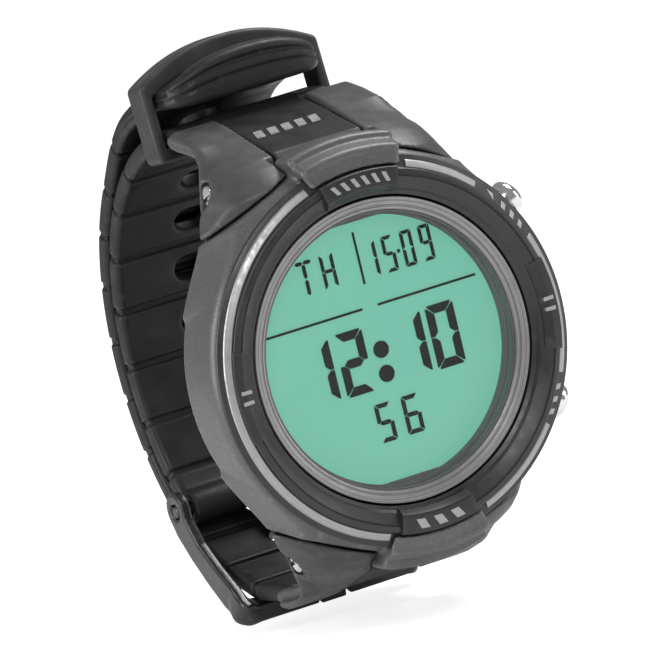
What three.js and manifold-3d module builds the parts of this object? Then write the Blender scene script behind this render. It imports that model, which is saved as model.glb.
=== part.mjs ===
// A watch-size dive computer on its own closed rubber strap.
// Everything is drawn in the case's own axes: x to 3 o'clock, y to 12 o'clock, z out of the display,
// with z = 0 on the flat face of the case back. The exported group turns that upright, so that the
// display looks along -Y and 12 o'clock points along +Z. Millimetres and degrees.
import * as THREE from "three";
import { mergeVertices } from "three/addons/utils/BufferGeometryUtils.js";
import Module from "manifold-3d";

// Driving dimensions
const CLEARANCE = 0.3; // between neighbouring pieces
const RING_SEGMENTS = 40;
const CASE = { wall: 20.6, inside: 18.9, back: 0.5, front: 11.3 };
const COVER = { radius: 22.5, inside: 20.9, back: 4.6, front: 12.65 };
const SHOULDER = { x: 17.4, y: 17.6 }; // where the cover's flank ends and a horn begins
const HORN = { inner: 6.05, outer: 13.5 };
const LUG = { y: 21.5, z: 3.4 }; // axis of each strap pin, and its mirror image
const PIN_RADIUS = 0.75;
const PIN_HOLE = PIN_RADIUS + CLEARANCE;
const BEZEL = { inside: 17.75, brow: 19.9, lip: 21, outside: 22.1, front: 14.6 };
const LENS = { radius: 15.7, back: 11.15, front: 12.5 };
const WINDOW = { radius: 15.5, flat: 15 }; // the display seen through the mask
const MODULE = { outside: 17.3, inside: 16.6, back: 3.4, front: 9.65 };
const BUTTON = { angle: 30, z: 8, travel: 1 };
const LOOP = { z: -9.8, inner: 26.2 }; // centre line height and inner radius of the strap loop
const STRAP = { half: 10.2, tab: 5.75, thick: 2.2 };
const SLOT = { across: 4.8, along: 3.8, pitch: 13.2 }; // pitch in degrees round the loop
const KEEPER = { angle: -6.8, half: 11.8, wall: 1.3, depth: 4.1 };
const BUCKLE = { pinAngle: 228, pinReach: 26.4, barAngle: 196.3, barReach: 30.95, half: 12.2 };

const wasm = await Module();
wasm.setup();
const radians = THREE.MathUtils.degToRad;

// Solids

function signedVolume(geometry) {
  const p = geometry.getAttribute("position");
  const [a, b, c] = [new THREE.Vector3(), new THREE.Vector3(), new THREE.Vector3()];
  let sum = 0;
  for (let i = 0; i < geometry.index.count; i += 3) {
    [a, b, c].forEach((corner, k) => corner.fromBufferAttribute(p, geometry.index.getX(i + k)));
    sum += a.dot(b.cross(c));
  }
  return sum;
}

// A closed three.js geometry as a manifold solid, with its faces turned outwards.
function solid(geometry) {
  const bare = geometry.clone();
  bare.deleteAttribute("normal");
  bare.deleteAttribute("uv");
  const shared = mergeVertices(bare, 1e-4);
  const inwards = signedVolume(shared) < 0;
  const triVerts = [];
  for (let i = 0; i < shared.index.count; i += 3) {
    const [a, b, c] = [0, 1, 2].map((k) => shared.index.getX(i + k));
    if (a === b || b === c || c === a) continue; // a triangle that collapsed on the axis
    triVerts.push(...(inwards ? [a, c, b] : [a, b, c]));
  }
  const vertProperties = new Float32Array(shared.getAttribute("position").array);
  const mesh = new wasm.Mesh({ numProp: 3, vertProperties, triVerts: new Uint32Array(triVerts) });
  return new wasm.Manifold(mesh);
}

function geometryOf(body) {
  const mesh = body.getMesh();
  const positions = new Float32Array(mesh.numVert * 3);
  for (let i = 0; i < mesh.numVert; i++) {
    const first = i * mesh.numProp;
    positions.set(mesh.vertProperties.subarray(first, first + 3), i * 3);
  }
  const geometry = new THREE.BufferGeometry();
  geometry.setAttribute("position", new THREE.BufferAttribute(positions, 3));
  geometry.setIndex(new THREE.BufferAttribute(new Uint32Array(mesh.triVerts), 1));
  return geometry;
}

function moved(geometry, x = 0, y = 0, z = 0) {
  return geometry.translate(x, y, z);
}

const join = (bodies) => bodies.reduce((a, b) => a.add(b));
const cut = (body, ...tools) => tools.reduce((a, b) => a.subtract(b), body);

// A closed profile of [radius, z] corners turned round the z axis.
function turned(profile, segments = RING_SEGMENTS) {
  const points = profile.map(([r, z]) => new THREE.Vector2(r, z));
  const onAxis = profile[0][0] === 0 && profile.at(-1)[0] === 0;
  if (!onAxis) points.push(points[0].clone());
  return solid(new THREE.LatheGeometry(points, segments).rotateX(Math.PI / 2));
}

const disc = (radius, z0, z1, segments) =>
  turned([[0, z0], [radius, z0], [radius, z1], [0, z1]], segments);

const ring = (r0, r1, z0, z1, segments) =>
  turned([[r0, z0], [r1, z0], [r1, z1], [r0, z1]], segments);

// An outline of [x, y] corners, raised from z0 to z1.
function raised(outline, z0, z1) {
  const shape = outline instanceof THREE.Shape
    ? outline
    : new THREE.Shape(outline.map(([x, y]) => new THREE.Vector2(x, y)));
  const options = { depth: z1 - z0, bevelEnabled: false, curveSegments: 8 };
  return solid(moved(new THREE.ExtrudeGeometry(shape, options), 0, 0, z0));
}

// An outline of [y, z] corners, drawn in side view and extruded along x from x0 to x1.
function sideways(outline, x0, x1) {
  const shape = new THREE.Shape(outline.map(([y, z]) => new THREE.Vector2(y, z)));
  const options = { depth: x1 - x0, bevelEnabled: false };
  const geometry = new THREE.ExtrudeGeometry(shape, options);
  geometry.applyMatrix4(new THREE.Matrix4().makeBasis(
    new THREE.Vector3(0, 1, 0),
    new THREE.Vector3(0, 0, 1),
    new THREE.Vector3(1, 0, 0),
  ));
  return solid(moved(geometry, x0));
}

const boxShape = (x0, x1, y0, y1) => new THREE.Shape([
  new THREE.Vector2(x0, y0), new THREE.Vector2(x1, y0), new THREE.Vector2(x1, y1),
  new THREE.Vector2(x0, y1),
]);

// A shape drawn in x and z, seen from 12 o'clock, extruded along y from y0 to y1.
function fromAbove(shape, y0, y1) {
  const options = { depth: y1 - y0, bevelEnabled: false, curveSegments: 6 };
  const geometry = new THREE.ExtrudeGeometry(shape, options);
  geometry.applyMatrix4(new THREE.Matrix4().makeBasis(
    new THREE.Vector3(1, 0, 0),
    new THREE.Vector3(0, 0, 1),
    new THREE.Vector3(0, -1, 0),
  ));
  return solid(moved(geometry, 0, y1));
}

// A wedge about the z axis between two angles, anticlockwise from 3 o'clock.
function wedge(from, to, reach = 40, z0 = -5, z1 = 30) {
  const shape = new THREE.Shape();
  shape.moveTo(0, 0);
  shape.lineTo(reach * Math.cos(radians(from)), reach * Math.sin(radians(from)));
  shape.absarc(0, 0, reach, radians(from), radians(to), false);
  return raised(shape, z0, z1);
}

const sector = (profile, from, to) => turned(profile).intersect(wedge(from, to));

// A rod along x at a given y and z.
function rod(radius, x0, x1, y, z, sides = 12) {
  const geometry = new THREE.CylinderGeometry(radius, radius, x1 - x0, sides);
  return solid(moved(geometry.rotateZ(Math.PI / 2), (x0 + x1) / 2, y, z));
}

// Turns a body drawn along +z so that it points out radially at an angle, at the buttons' height.
function radially(body, angle) {
  const geometry = geometryOf(body).rotateY(Math.PI / 2).rotateZ(radians(angle));
  return solid(moved(geometry, 0, 0, BUTTON.z));
}

const mirrored = (body) => body.mirror([1, 0, 0]);
const flipped = (body) => body.mirror([0, 1, 0]);

// Case

function coverOutline(grow) {
  const shape = new THREE.Shape();
  const radius = COVER.radius + grow;
  const corner = [SHOULDER.x + grow, SHOULDER.y + grow];
  const inner = [HORN.inner + 1.5, 21.6 + grow];
  shape.absarc(0, 0, radius, radians(-27), radians(27), false);
  shape.lineTo(corner[0], corner[1]);
  shape.lineTo(inner[0], inner[1]);
  shape.absarc(0, 0, radius, radians(75), radians(105), false);
  shape.lineTo(-inner[0], inner[1]);
  shape.lineTo(-corner[0], corner[1]);
  shape.absarc(0, 0, radius, radians(153), radians(207), false);
  shape.lineTo(-corner[0], -corner[1]);
  shape.lineTo(-inner[0], -inner[1]);
  shape.absarc(0, 0, radius, radians(255), radians(285), false);
  shape.lineTo(inner[0], -inner[1]);
  shape.lineTo(corner[0], -corner[1]);
  return shape;
}

// One horn at 12 o'clock on the right: a hood over the strap's root, seen from the side and cut to
// its plan, with an ear that runs on beside the strap's edge.
function horn() {
  const hood = [
    [15, 1.2], [19.2, 0.9], [22.6, 0.2], [24.6, -1.4], [25.4, -4], [26.4, -7], [27.9, -7.4],
    [28.5, -6.4], [27.2, -2], [26.1, 1.2], [25.2, 4.5], [24.3, 7.5], [23.1, 9.8], [21.6, 11.2],
    [15, 11.2],
  ];
  const ear = [[24.6, -1.4], [25, -4], [25.4, -8], [26.4, -9], [27.7, -8.9], [28.4, -7.6],
    [28.3, -5], [27.2, -2]];
  const plan = [
    [HORN.inner, 15], [SHOULDER.x, 15], [SHOULDER.x, 18], [14.6, 20.4], [14.3, 23],
    [HORN.outer, 25], [HORN.outer - 0.8, 29], [HORN.inner, 29],
  ];
  const solidHorn = sideways(hood, 0, 20).add(sideways(ear, STRAP.half + CLEARANCE, 20));
  return solidHorn.intersect(raised(plan, -12, 14));
}

const everyHorn = (one) => join([one, mirrored(one), flipped(one), flipped(mirrored(one))]);

function pinTools() {
  const through = rod(PIN_HOLE, -20, 20, LUG.y, LUG.z);
  const recess = rod(1.7, 13.1, 20, LUG.y, LUG.z);
  const pocket = rod(2, -HORN.inner, HORN.inner, LUG.y, LUG.z);
  const upper = join([through, recess, mirrored(recess), pocket]);
  return upper.add(flipped(upper));
}

function buttonHoles(radius, from, to) {
  const hole = disc(radius, from, to, 16);
  return radially(hole, BUTTON.angle).add(radially(hole, -BUTTON.angle));
}

const screwPlaces = [45, 135, 225, 315].map((angle) => {
  const reach = 16.9;
  return [reach * Math.cos(radians(angle)), reach * Math.sin(radians(angle))];
});

const atScrews = (body) => join(screwPlaces.map(([x, y]) => body.translate([x, y, 0])));

function caseBody() {
  const cup = turned([
    [15.5, 1.9], [CASE.wall - 1.2, 1.9], [CASE.wall - 1.2, CASE.back], [CASE.wall - 0.4, CASE.back],
    [CASE.wall, 1.4], [CASE.wall, CASE.front], [CASE.inside, CASE.front], [CASE.inside, 3.1],
    [15.5, 3.1],
  ]);
  const envelope = raised(coverOutline(CLEARANCE), COVER.back - CLEARANCE, 20);
  const guardRoom = sector([[20, 6.8], [26, 6.8], [26, 16], [20, 16]], 73, 107);
  const bore = disc(CASE.wall - 0.5, -5, 20);
  const horns = cut(everyHorn(horn()), envelope, bore, guardRoom, flipped(guardRoom));
  const screwHoles = atScrews(disc(1, 0, 4, 10));
  return cut(cup.add(horns), pinTools(), buttonHoles(2.5, 15, 21), screwHoles);
}

// A guard block on the cover, outside the 12 o'clock plaque.
function guard() {
  return sector([[21.3, 7.2], [24.2, 7.2], [24.9, 8.4], [24.6, 12.4], [23.4, 13.7], [22.4, 13.9],
    [22.4, 12.7], [21.3, 12.6]], 74, 106);
}

function topCover() {
  const block = raised(coverOutline(0), COVER.back, COVER.front);
  const dome = turned([
    [0, 0], [30, 0], [30, 4.6], [25.6, 8.4], [23.2, 11.2], [22, COVER.front], [0, COVER.front],
  ]);
  const shell = block.intersect(dome).add(guard()).add(flipped(guard()));
  const bore = disc(COVER.inside, 0, 20);
  const tab = raised([[-6.2, 19], [6.2, 19], [6.2, 30], [-6.2, 30]], 0, 6.4);
  return cut(shell, bore, tab, flipped(tab), buttonHoles(3, 18, 30));
}

// Bezel and its trim

const INLAYS = {
  inlay_left: [107.5, 253],
  inlay_upper_right: [47, 72],
  inlay_right: [-22.5, 22.5],
  inlay_lower_right: [-72, -39],
};

function bezel() {
  const body = turned([
    [BEZEL.inside, 11.6], [20.6, 11.6], [20.6, 12.95], [BEZEL.outside, 12.95], [21.7, 13.2],
    [21, 13.75], [BEZEL.lip, 14.45], [BEZEL.brow, BEZEL.front], [BEZEL.inside, 13.15],
  ]);
  const seat = [[17.9, 13], [21.2, 13], [21.2, 16], [17.9, 16]];
  const tickSeat = [[17.9, 12.8], [20.2, 13.5], [20.2, 16], [17.9, 16]];
  return cut(
    body,
    sector(seat, 75, 105),
    sector(seat, 255, 285),
    sector(tickSeat, -16, 16),
    sector(tickSeat, 164, 196),
  );
}

const plaque = (middle) => sector(
  [[18.2, 13.3], [20.9, 13.3], [20.9, 14.7], [20.4, 15], [18.9, 14.9], [18.2, 14.2]],
  middle - 14,
  middle + 14,
);

const tickInsert = (middle) => sector(
  [[18.2, 13.2], [19.9, 13.75], [19.9, 14.85], [18.2, 13.75]],
  middle - 15,
  middle + 15,
);

const inlay = ([from, to]) => sector(
  [[21.3, 14.05], [21.9, 13.5], [22, 13.65], [21.4, 14.3]],
  from,
  to,
);

// Display stack and what is under it

function windowOutline(radius, flat) {
  const shape = new THREE.Shape();
  const side = Math.asin(flat / radius);
  shape.absarc(0, 0, radius, -side, side, false);
  shape.absarc(0, 0, radius, Math.PI - side, Math.PI + side, false);
  return shape;
}

const displayRing = () => turned([[16, 11.15], [17.45, 11.15], [17.45, 13.2], [16, 12.5]]);

const lens = () => turned([
  [0, LENS.back], [LENS.radius, LENS.back], [LENS.radius, LENS.front - 0.2],
  [LENS.radius - 0.2, LENS.front], [0, LENS.front],
]);

const displayMask = () => cut(
  disc(MODULE.outside, 9.95, 10.25),
  raised(windowOutline(WINDOW.radius, WINDOW.flat), 9, 11),
);

const lcdPanel = () => raised(windowOutline(16.3, 15.6), 8.65, MODULE.front);
const backlightPlate = () => raised(windowOutline(16, 15.4), 7.75, 8.35);

function moduleFrame() {
  const tube = ring(MODULE.inside, MODULE.outside, MODULE.back, MODULE.front);
  return cut(tube, buttonHoles(2.2, 14, 19));
}

function circuitBoard() {
  const board = disc(16.3, 6.6, 7.45);
  const chip = raised([[-4, -3], [3, -3], [3, 4], [-4, 4]], 5.6, 6.7);
  const connector = raised([[5, -2], [8, -2], [8, 4], [5, 4]], 5.6, 6.7);
  return join([board, chip, connector]);
}

const batteryHolder = () => cut(
  ring(12.6, 13.6, 3.1, 6.2),
  raised([[-2, 10], [2, 10], [2, 16], [-2, 16]], 2, 5),
);

const coinCell = () => turned([
  [0, 3], [12, 3], [12.25, 3.25], [12.25, 4.6], [11.4, 5], [11.4, 5.2], [0, 5.2],
]);

// Case back, seals and screws

function caseBack() {
  const plate = turned([
    [0, 0], [18.2, 0], [19, 0.7], [19, 1.6], [14.3, 1.6], [14.3, 2.6], [0, 2.6],
  ]);
  const sensorPort = join([disc(2.2, 0.9, 3, 16), disc(0.6, -1, 1, 10)]).translate([0, -8.6, 0]);
  return cut(plate, atScrews(disc(1, -1, 2, 10)), atScrews(disc(1.8, -1, 0.9, 12)), sensorPort);
}

function caseBackScrew([x, y]) {
  const screw = turned([[0, 0.1], [1.4, 0.1], [1.4, 0.6], [0.7, 0.6], [0.7, 3], [0, 3]], 12);
  const slot = raised([[-2, -0.18], [2, -0.18], [2, 0.18], [-2, 0.18]], 0, 0.35);
  return cut(screw, slot).translate([x, y, 0]);
}

const pressureSensor = () => disc(1.9, 1.2, 2.7, 16).translate([0, -8.6, 0]);

// Buttons, drawn with z as the distance from the case's axis

const buttonCap = () => turned([
  [0, 17.6], [0.8, 17.6], [0.8, 22.5], [2.1, 22.5], [2.1, 24.2], [1.8, 25], [1.2, 25.5], [0, 25.7],
], 16);

const buttonBush = () => turned([
  [1.1, 19.1], [2.2, 19.1], [2.2, 21], [2.7, 21], [2.7, 23], [2.4, 23], [2.4, 21.3], [1.75, 21.3],
  [1.75, 20.6], [1.1, 20.6], [1.1, 20.3], [1.8, 20.3], [1.8, 19.4], [1.1, 19.4],
], 16);

const buttonSeal = () => turned([
  [1.1, 19.8], [1.3, 19.65], [1.5, 19.8], [1.5, 19.95], [1.3, 20.1], [1.1, 19.95],
], 12);

const buttonClip = () => cut(
  ring(1.1, 1.9, 18, 18.5, 12),
  raised([[0, -0.6], [3, -0.6], [3, 0.6], [0, 0.6]], 17, 20),
);

class Helix extends THREE.Curve {
  constructor(radius, start, length, turns) {
    super();
    Object.assign(this, { radius, start, length, turns });
  }
  getPoint(t, target = new THREE.Vector3()) {
    const angle = 2 * Math.PI * this.turns * t;
    const [x, y] = [this.radius * Math.cos(angle), this.radius * Math.sin(angle)];
    return target.set(x, y, this.start + this.length * t);
  }
}

function buttonSpring() {
  const wire = new THREE.Shape();
  wire.absarc(0, 0, 0.17, 0, 2 * Math.PI, false);
  const path = new Helix(1.3, 21, 1.1, 2);
  const options = { steps: 24, extrudePath: path, curveSegments: 3, bevelEnabled: false };
  return solid(new THREE.ExtrudeGeometry(wire, options));
}

// Strap, drawn in side view with polar places about the middle of the loop:
// angle 0 at 12 o'clock, growing towards the display, so that 270 is the far side of the wrist.

function onLoop(reach, angle) {
  const a = radians(angle);
  return [reach * Math.cos(a), LOOP.z + reach * Math.sin(a)];
}

// Reach of a layer at an angle, easing between [angle, reach] stations.
function reachAt(stations, angle) {
  const next = Math.max(1, stations.findIndex(([a]) => a >= angle));
  const [[a0, r0], [a1, r1]] = [stations[next - 1], stations[next]];
  return r0 + (r1 - r0) * THREE.MathUtils.smoothstep(angle, a0, a1);
}

// Side view of a strap layer of a given thickness from one angle to another.
function layerOutline(stations, from, to, thick, steps) {
  const inner = [];
  const outer = [];
  for (let i = 0; i <= steps; i++) {
    const angle = from + ((to - from) * i) / steps;
    const reach = reachAt(stations, angle);
    inner.push(onLoop(reach, angle));
    outer.unshift(onLoop(reach + thick, angle));
  }
  return [...inner, ...outer];
}

const LOWER_STATIONS = [
  [176, LOOP.inner], [184, LOOP.inner], [198, 27.1], [224, 28.8], [312, 28.75], [343, 29.8],
  [366, 30.1],
];
const UPPER_STATIONS = [[-140, LOOP.inner], [10, LOOP.inner]];
const STRAP_END = { upper: 4, lower: 176, tip: 366 }; // upper and lower meet the horns
const TONGUE = { half: 1.7, slotAngle: 214.5 };
const UPPER_PITCH = 14.6; // degrees between the upper strap's slots
const BUCKLE_PIN = onLoop(BUCKLE.pinReach, BUCKLE.pinAngle);

function slotAt(angle) {
  const outline = new THREE.Shape();
  const [half, round] = [SLOT.across / 2 - SLOT.along / 2, SLOT.along / 2];
  outline.absarc(half, 0, round, -Math.PI / 2, Math.PI / 2, false);
  outline.absarc(-half, 0, round, Math.PI / 2, 1.5 * Math.PI, false);
  const options = { depth: 10, bevelEnabled: false, curveSegments: 4 };
  const geometry = new THREE.ExtrudeGeometry(outline, options);
  moved(geometry, 0, 0, 24).rotateX(radians(angle - 90));
  return solid(moved(geometry, 0, 0, LOOP.z));
}

// The narrow root of a strap between two horns, round its pin.
function strapTab() {
  const outline = [
    onLoop(LOOP.inner, 0), [25.2, -4], [23.8, -0.4], [20.8, 1.8], [19.8, 3.4], [20.8, 5],
    [22.9, 6], [24.2, 6.4], [25.6, 1.2], [26.7, -2], [27.8, -6],
    onLoop(LOOP.inner + STRAP.thick, 0),
  ];
  return cut(sideways(outline, -STRAP.tab, STRAP.tab), rod(PIN_HOLE, -20, 20, LUG.y, LUG.z));
}

function upperStrap() {
  const end = BUCKLE.pinAngle - 360 + 3.8;
  const outline = layerOutline(UPPER_STATIONS, end, STRAP_END.upper, STRAP.thick, 24);
  const band = sideways(outline, -STRAP.half, STRAP.half);
  const eye = rod(1.95, -STRAP.half, STRAP.half, ...BUCKLE_PIN, 16);
  const hole = rod(PIN_HOLE, -20, 20, ...BUCKLE_PIN);
  const [y, z] = BUCKLE_PIN;
  const notch = sideways([[y - 4, z - 4], [y + 2.6, z - 4], [y + 2.6, z + 4], [y - 4, z + 4]],
    -TONGUE.half - 0.5, TONGUE.half + 0.5);
  const slots = [];
  for (let angle = -26.5; angle > -118; angle -= UPPER_PITCH) slots.push(slotAt(angle));
  return cut(join([band, eye, strapTab()]), hole, notch, ...slots);
}

function lowerStrap() {
  const outline = layerOutline(LOWER_STATIONS, STRAP_END.lower, STRAP_END.tip, STRAP.thick, 40);
  const band = sideways(outline, -STRAP.half, STRAP.half);
  const rounding = new THREE.Shape();
  const [round, end] = [3.5, LOOP.z + 3.4];
  rounding.moveTo(-STRAP.half, end - 12);
  rounding.lineTo(STRAP.half, end - 12);
  rounding.absarc(STRAP.half - round, end - round, round, 0, Math.PI / 2, false);
  rounding.absarc(round - STRAP.half, end - round, round, Math.PI / 2, Math.PI, false);
  const block = fromAbove(boxShape(-20, 20, end - 9, end + 9), 25, 40);
  const corners = cut(block, fromAbove(rounding, 20, 45));
  const slots = [];
  for (let angle = TONGUE.slotAngle; angle < 345; angle += SLOT.pitch) slots.push(slotAt(angle));
  return cut(join([band, flipped(strapTab())]), corners, ...slots);
}

// Buckle and keeper

// The outline round two circles, given as [centre, radius].
function stadium([p, rp], [q, rq]) {
  const heading = Math.atan2(q[1] - p[1], q[0] - p[0]);
  const outline = [];
  for (const [centre, radius, start] of [[p, rp, heading + Math.PI / 2], [q, rq, heading - Math.PI / 2]]) {
    for (let i = 0; i <= 6; i++) {
      const a = start + (Math.PI * i) / 6;
      outline.push([centre[0] + radius * Math.cos(a), centre[1] + radius * Math.sin(a)]);
    }
  }
  return outline;
}

// The outline of one buckle arm: a round ear on the pin, widening to a plate that ends at the bar.
function armOutline() {
  const [y, z] = BUCKLE_PIN;
  const ear = [];
  for (let angle = 60; angle >= -120; angle -= 20) {
    ear.push([y + 2.3 * Math.cos(radians(angle)), z + 2.3 * Math.sin(radians(angle))]);
  }
  return [
    ...ear, [-22, -30.4], [-26, -26.6], [-28.6, -23], [-30.2, -19.6], [-30.9, -18.2],
    [-30.2, -17], [-29, -17], [-26.6, -19], [-21.6, -23.6], [-17.4, -26.6],
  ];
}

function buckleFrame() {
  const arm = sideways(armOutline(), STRAP.half + 0.6, BUCKLE.half);
  const section = stadium([onLoop(BUCKLE.barReach, BUCKLE.barAngle + 1.4), 1.05],
    [onLoop(BUCKLE.barReach, BUCKLE.barAngle - 1.4), 1.05]);
  const crossbar = sideways(section, -BUCKLE.half, BUCKLE.half);
  return cut(join([arm, mirrored(arm), crossbar]), rod(PIN_HOLE, -20, 20, ...BUCKLE_PIN));
}

// A strip of even thickness along a smooth curve through [y, z] points.
function ribbonOutline(points, thick) {
  const curve = new THREE.SplineCurve(points.map(([y, z]) => new THREE.Vector2(y, z)));
  const sides = [[], []];
  for (let i = 0; i <= 20; i++) {
    const at = curve.getPoint(i / 20);
    const along = curve.getTangent(i / 20);
    sides[0].push([at.x - (along.y * thick) / 2, at.y + (along.x * thick) / 2]);
    sides[1].unshift([at.x + (along.y * thick) / 2, at.y - (along.x * thick) / 2]);
  }
  return sides.flat();
}

function buckleTongue() {
  const route = [[26.4, 228], [26.2, 222], [27.2, 217], [30.5, 212.4], [32.3, 206.5], [32.95, 198],
    [32.95, 194.5]].map(([reach, angle]) => onLoop(reach, angle));
  const blade = sideways(ribbonOutline(route, 1.1), -TONGUE.half, TONGUE.half);
  const eye = rod(1.7, -TONGUE.half, TONGUE.half, ...BUCKLE_PIN, 20);
  return cut(blade.add(eye), rod(PIN_HOLE, -20, 20, ...BUCKLE_PIN));
}

const bucklePin = () => rod(PIN_RADIUS, -BUCKLE.half + 0.1, BUCKLE.half - 0.1, ...BUCKLE_PIN);

// A ring round both strap layers, with an arched top. Its outline is drawn in x and reach.
function strapKeeper() {
  const { half, wall, depth, angle } = KEEPER;
  const [foot, shoulder, crown] = [24.6, 33.1, 36];
  const outer = new THREE.Shape();
  outer.absarc(half - 1.2, foot + 1.2, 1.2, -Math.PI / 2, 0, false);
  outer.lineTo(half, shoulder - 0.8);
  outer.quadraticCurveTo(half, shoulder + 0.2, half - 0.9, shoulder + 0.6);
  outer.quadraticCurveTo(half * 0.5, crown, 0, crown);
  outer.quadraticCurveTo(-half * 0.5, crown, 0.9 - half, shoulder + 0.6);
  outer.quadraticCurveTo(-half, shoulder + 0.2, -half, shoulder - 0.8);
  outer.absarc(1.2 - half, foot + 1.2, 1.2, Math.PI, 1.5 * Math.PI, false);
  const inner = new THREE.Path();
  const side = half - wall;
  inner.moveTo(-side, foot + wall);
  inner.lineTo(side, foot + wall);
  inner.lineTo(side, shoulder - 0.6);
  inner.quadraticCurveTo(side * 0.5, crown - 3, 0, crown - 3);
  inner.quadraticCurveTo(-side * 0.5, crown - 3, -side, shoulder - 0.6);
  inner.closePath();
  outer.holes.push(inner);
  const options = { depth, bevelEnabled: false, curveSegments: 8 };
  const geometry = new THREE.ExtrudeGeometry(outer, options);
  moved(geometry, 0, 0, -depth / 2).rotateX(radians(angle));
  return solid(moved(geometry, 0, 0, LOOP.z));
}

// Strap pins: a headed tube from the left and a screw from the right, at 12 and 6 o'clock

function slottedHead(side) {
  const head = rod(1.4, 13.2, 14, LUG.y, LUG.z, 16);
  const slot = sideways([[LUG.y - 2, LUG.z - 0.2], [LUG.y + 2, LUG.z - 0.2],
    [LUG.y + 2, LUG.z + 0.2], [LUG.y - 2, LUG.z + 0.2]], 13.7, 15);
  const cutHead = cut(head, slot);
  return side > 0 ? cutHead : mirrored(cutHead);
}

const strapPin = () => rod(PIN_RADIUS, -13.3, 8, LUG.y, LUG.z).add(slottedHead(-1));
const strapPinScrew = () => rod(PIN_RADIUS, 8 + CLEARANCE, 13.3, LUG.y, LUG.z).add(slottedHead(1));

// Materials

function finish(color, roughness, metalness = 0, extra = {}) {
  return new THREE.MeshStandardMaterial({ color, roughness, metalness, ...extra });
}

const FINISH = {
  satinCase: finish(0x5b5b5d, 0.5, 0.35),
  darkPlastic: finish(0x2f2f31, 0.5),
  silver: finish(0xb9b9bb, 0.35, 0.8),
  ringGrey: finish(0x8a8688, 0.4, 0.4),
  glass: finish(0xdfe8e6, 0.05, 0, { transparent: true, opacity: 0.3 }),
  display: finish(0x78c3aa, 0.4),
  maskGrey: finish(0x55555a, 0.7),
  white: finish(0xe8e8e4, 0.6),
  board: finish(0x1d5a35, 0.6),
  steel: finish(0xc4c4c8, 0.25, 1),
  brass: finish(0xb8923f, 0.35, 1),
  seal: finish(0x151515, 0.8),
  strap: finish(0x2a2a2b, 0.6),
  buckle: finish(0x353536, 0.35),
};

// Assembly

const model = new THREE.Group();
model.name = "dive_computer";
model.rotation.x = Math.PI / 2;

function place(name, body, material) {
  const mesh = new THREE.Mesh(geometryOf(body), material);
  mesh.name = name;
  model.add(mesh);
}

place("case_body", caseBody(), FINISH.satinCase);
place("top_cover", topCover(), FINISH.satinCase);
place("bezel", bezel(), FINISH.darkPlastic);
place("plaque_12", plaque(90), FINISH.darkPlastic);
place("plaque_6", plaque(270), FINISH.darkPlastic);
place("tick_insert_3", tickInsert(0), FINISH.darkPlastic);
place("tick_insert_9", tickInsert(180), FINISH.darkPlastic);
for (const [name, span] of Object.entries(INLAYS)) place(name, inlay(span), FINISH.silver);
place("display_ring", displayRing(), FINISH.ringGrey);
place("lens", lens(), FINISH.glass);
place("lens_gasket", ring(15.6, 17.4, 10.55, 10.85), FINISH.seal);
place("display_mask", displayMask(), FINISH.maskGrey);
place("lcd_panel", lcdPanel(), FINISH.display);
place("backlight_plate", backlightPlate(), FINISH.white);
place("module_frame", moduleFrame(), FINISH.white);
place("circuit_board", circuitBoard(), FINISH.board);
place("battery_holder", batteryHolder(), FINISH.darkPlastic);
place("coin_cell", coinCell(), FINISH.steel);
place("pressure_sensor", pressureSensor(), FINISH.steel);
place("case_back", caseBack(), FINISH.steel);
place("case_back_gasket", ring(14.6, 15.2, 1.95, 2.45), FINISH.seal);
screwPlaces.forEach((at, i) => place(`case_back_screw_${i + 1}`, caseBackScrew(at), FINISH.steel));

const buttons = { upper_button: BUTTON.angle, lower_button: -BUTTON.angle };
for (const [name, angle] of Object.entries(buttons)) {
  place(`${name}_cap`, radially(buttonCap(), angle), FINISH.steel);
  place(`${name}_bush`, radially(buttonBush(), angle), FINISH.steel);
  place(`${name}_spring`, radially(buttonSpring(), angle), FINISH.steel);
  place(`${name}_seal`, radially(buttonSeal(), angle), FINISH.seal);
  place(`${name}_clip`, radially(buttonClip(), angle), FINISH.steel);
}

place("upper_strap", upperStrap(), FINISH.strap);
place("lower_strap", lowerStrap(), FINISH.strap);
place("upper_strap_pin", strapPin(), FINISH.steel);
place("upper_strap_pin_screw", strapPinScrew(), FINISH.steel);
place("lower_strap_pin", flipped(strapPin()), FINISH.steel);
place("lower_strap_pin_screw", flipped(strapPinScrew()), FINISH.steel);
place("buckle_pin", bucklePin(), FINISH.steel);
place("buckle_frame", buckleFrame(), FINISH.buckle);
place("buckle_tongue", buckleTongue(), FINISH.buckle);
place("strap_keeper", strapKeeper(), FINISH.strap);

export default model;
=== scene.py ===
"""Looks of a wrist dive computer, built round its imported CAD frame.

Shapes are drawn in the case's own axes, in millimetres: x to 3 o'clock, y to 12 o'clock, z out of the
display, with z = 0 on the case back. Most are distance fields, negative inside, which surface() turns
into closed meshes with soft moulded edges. Turned pieces are lathed.
"""
import math
from functools import reduce

import bmesh
import bpy
import numpy as np
from mathutils import Matrix, Vector


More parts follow.
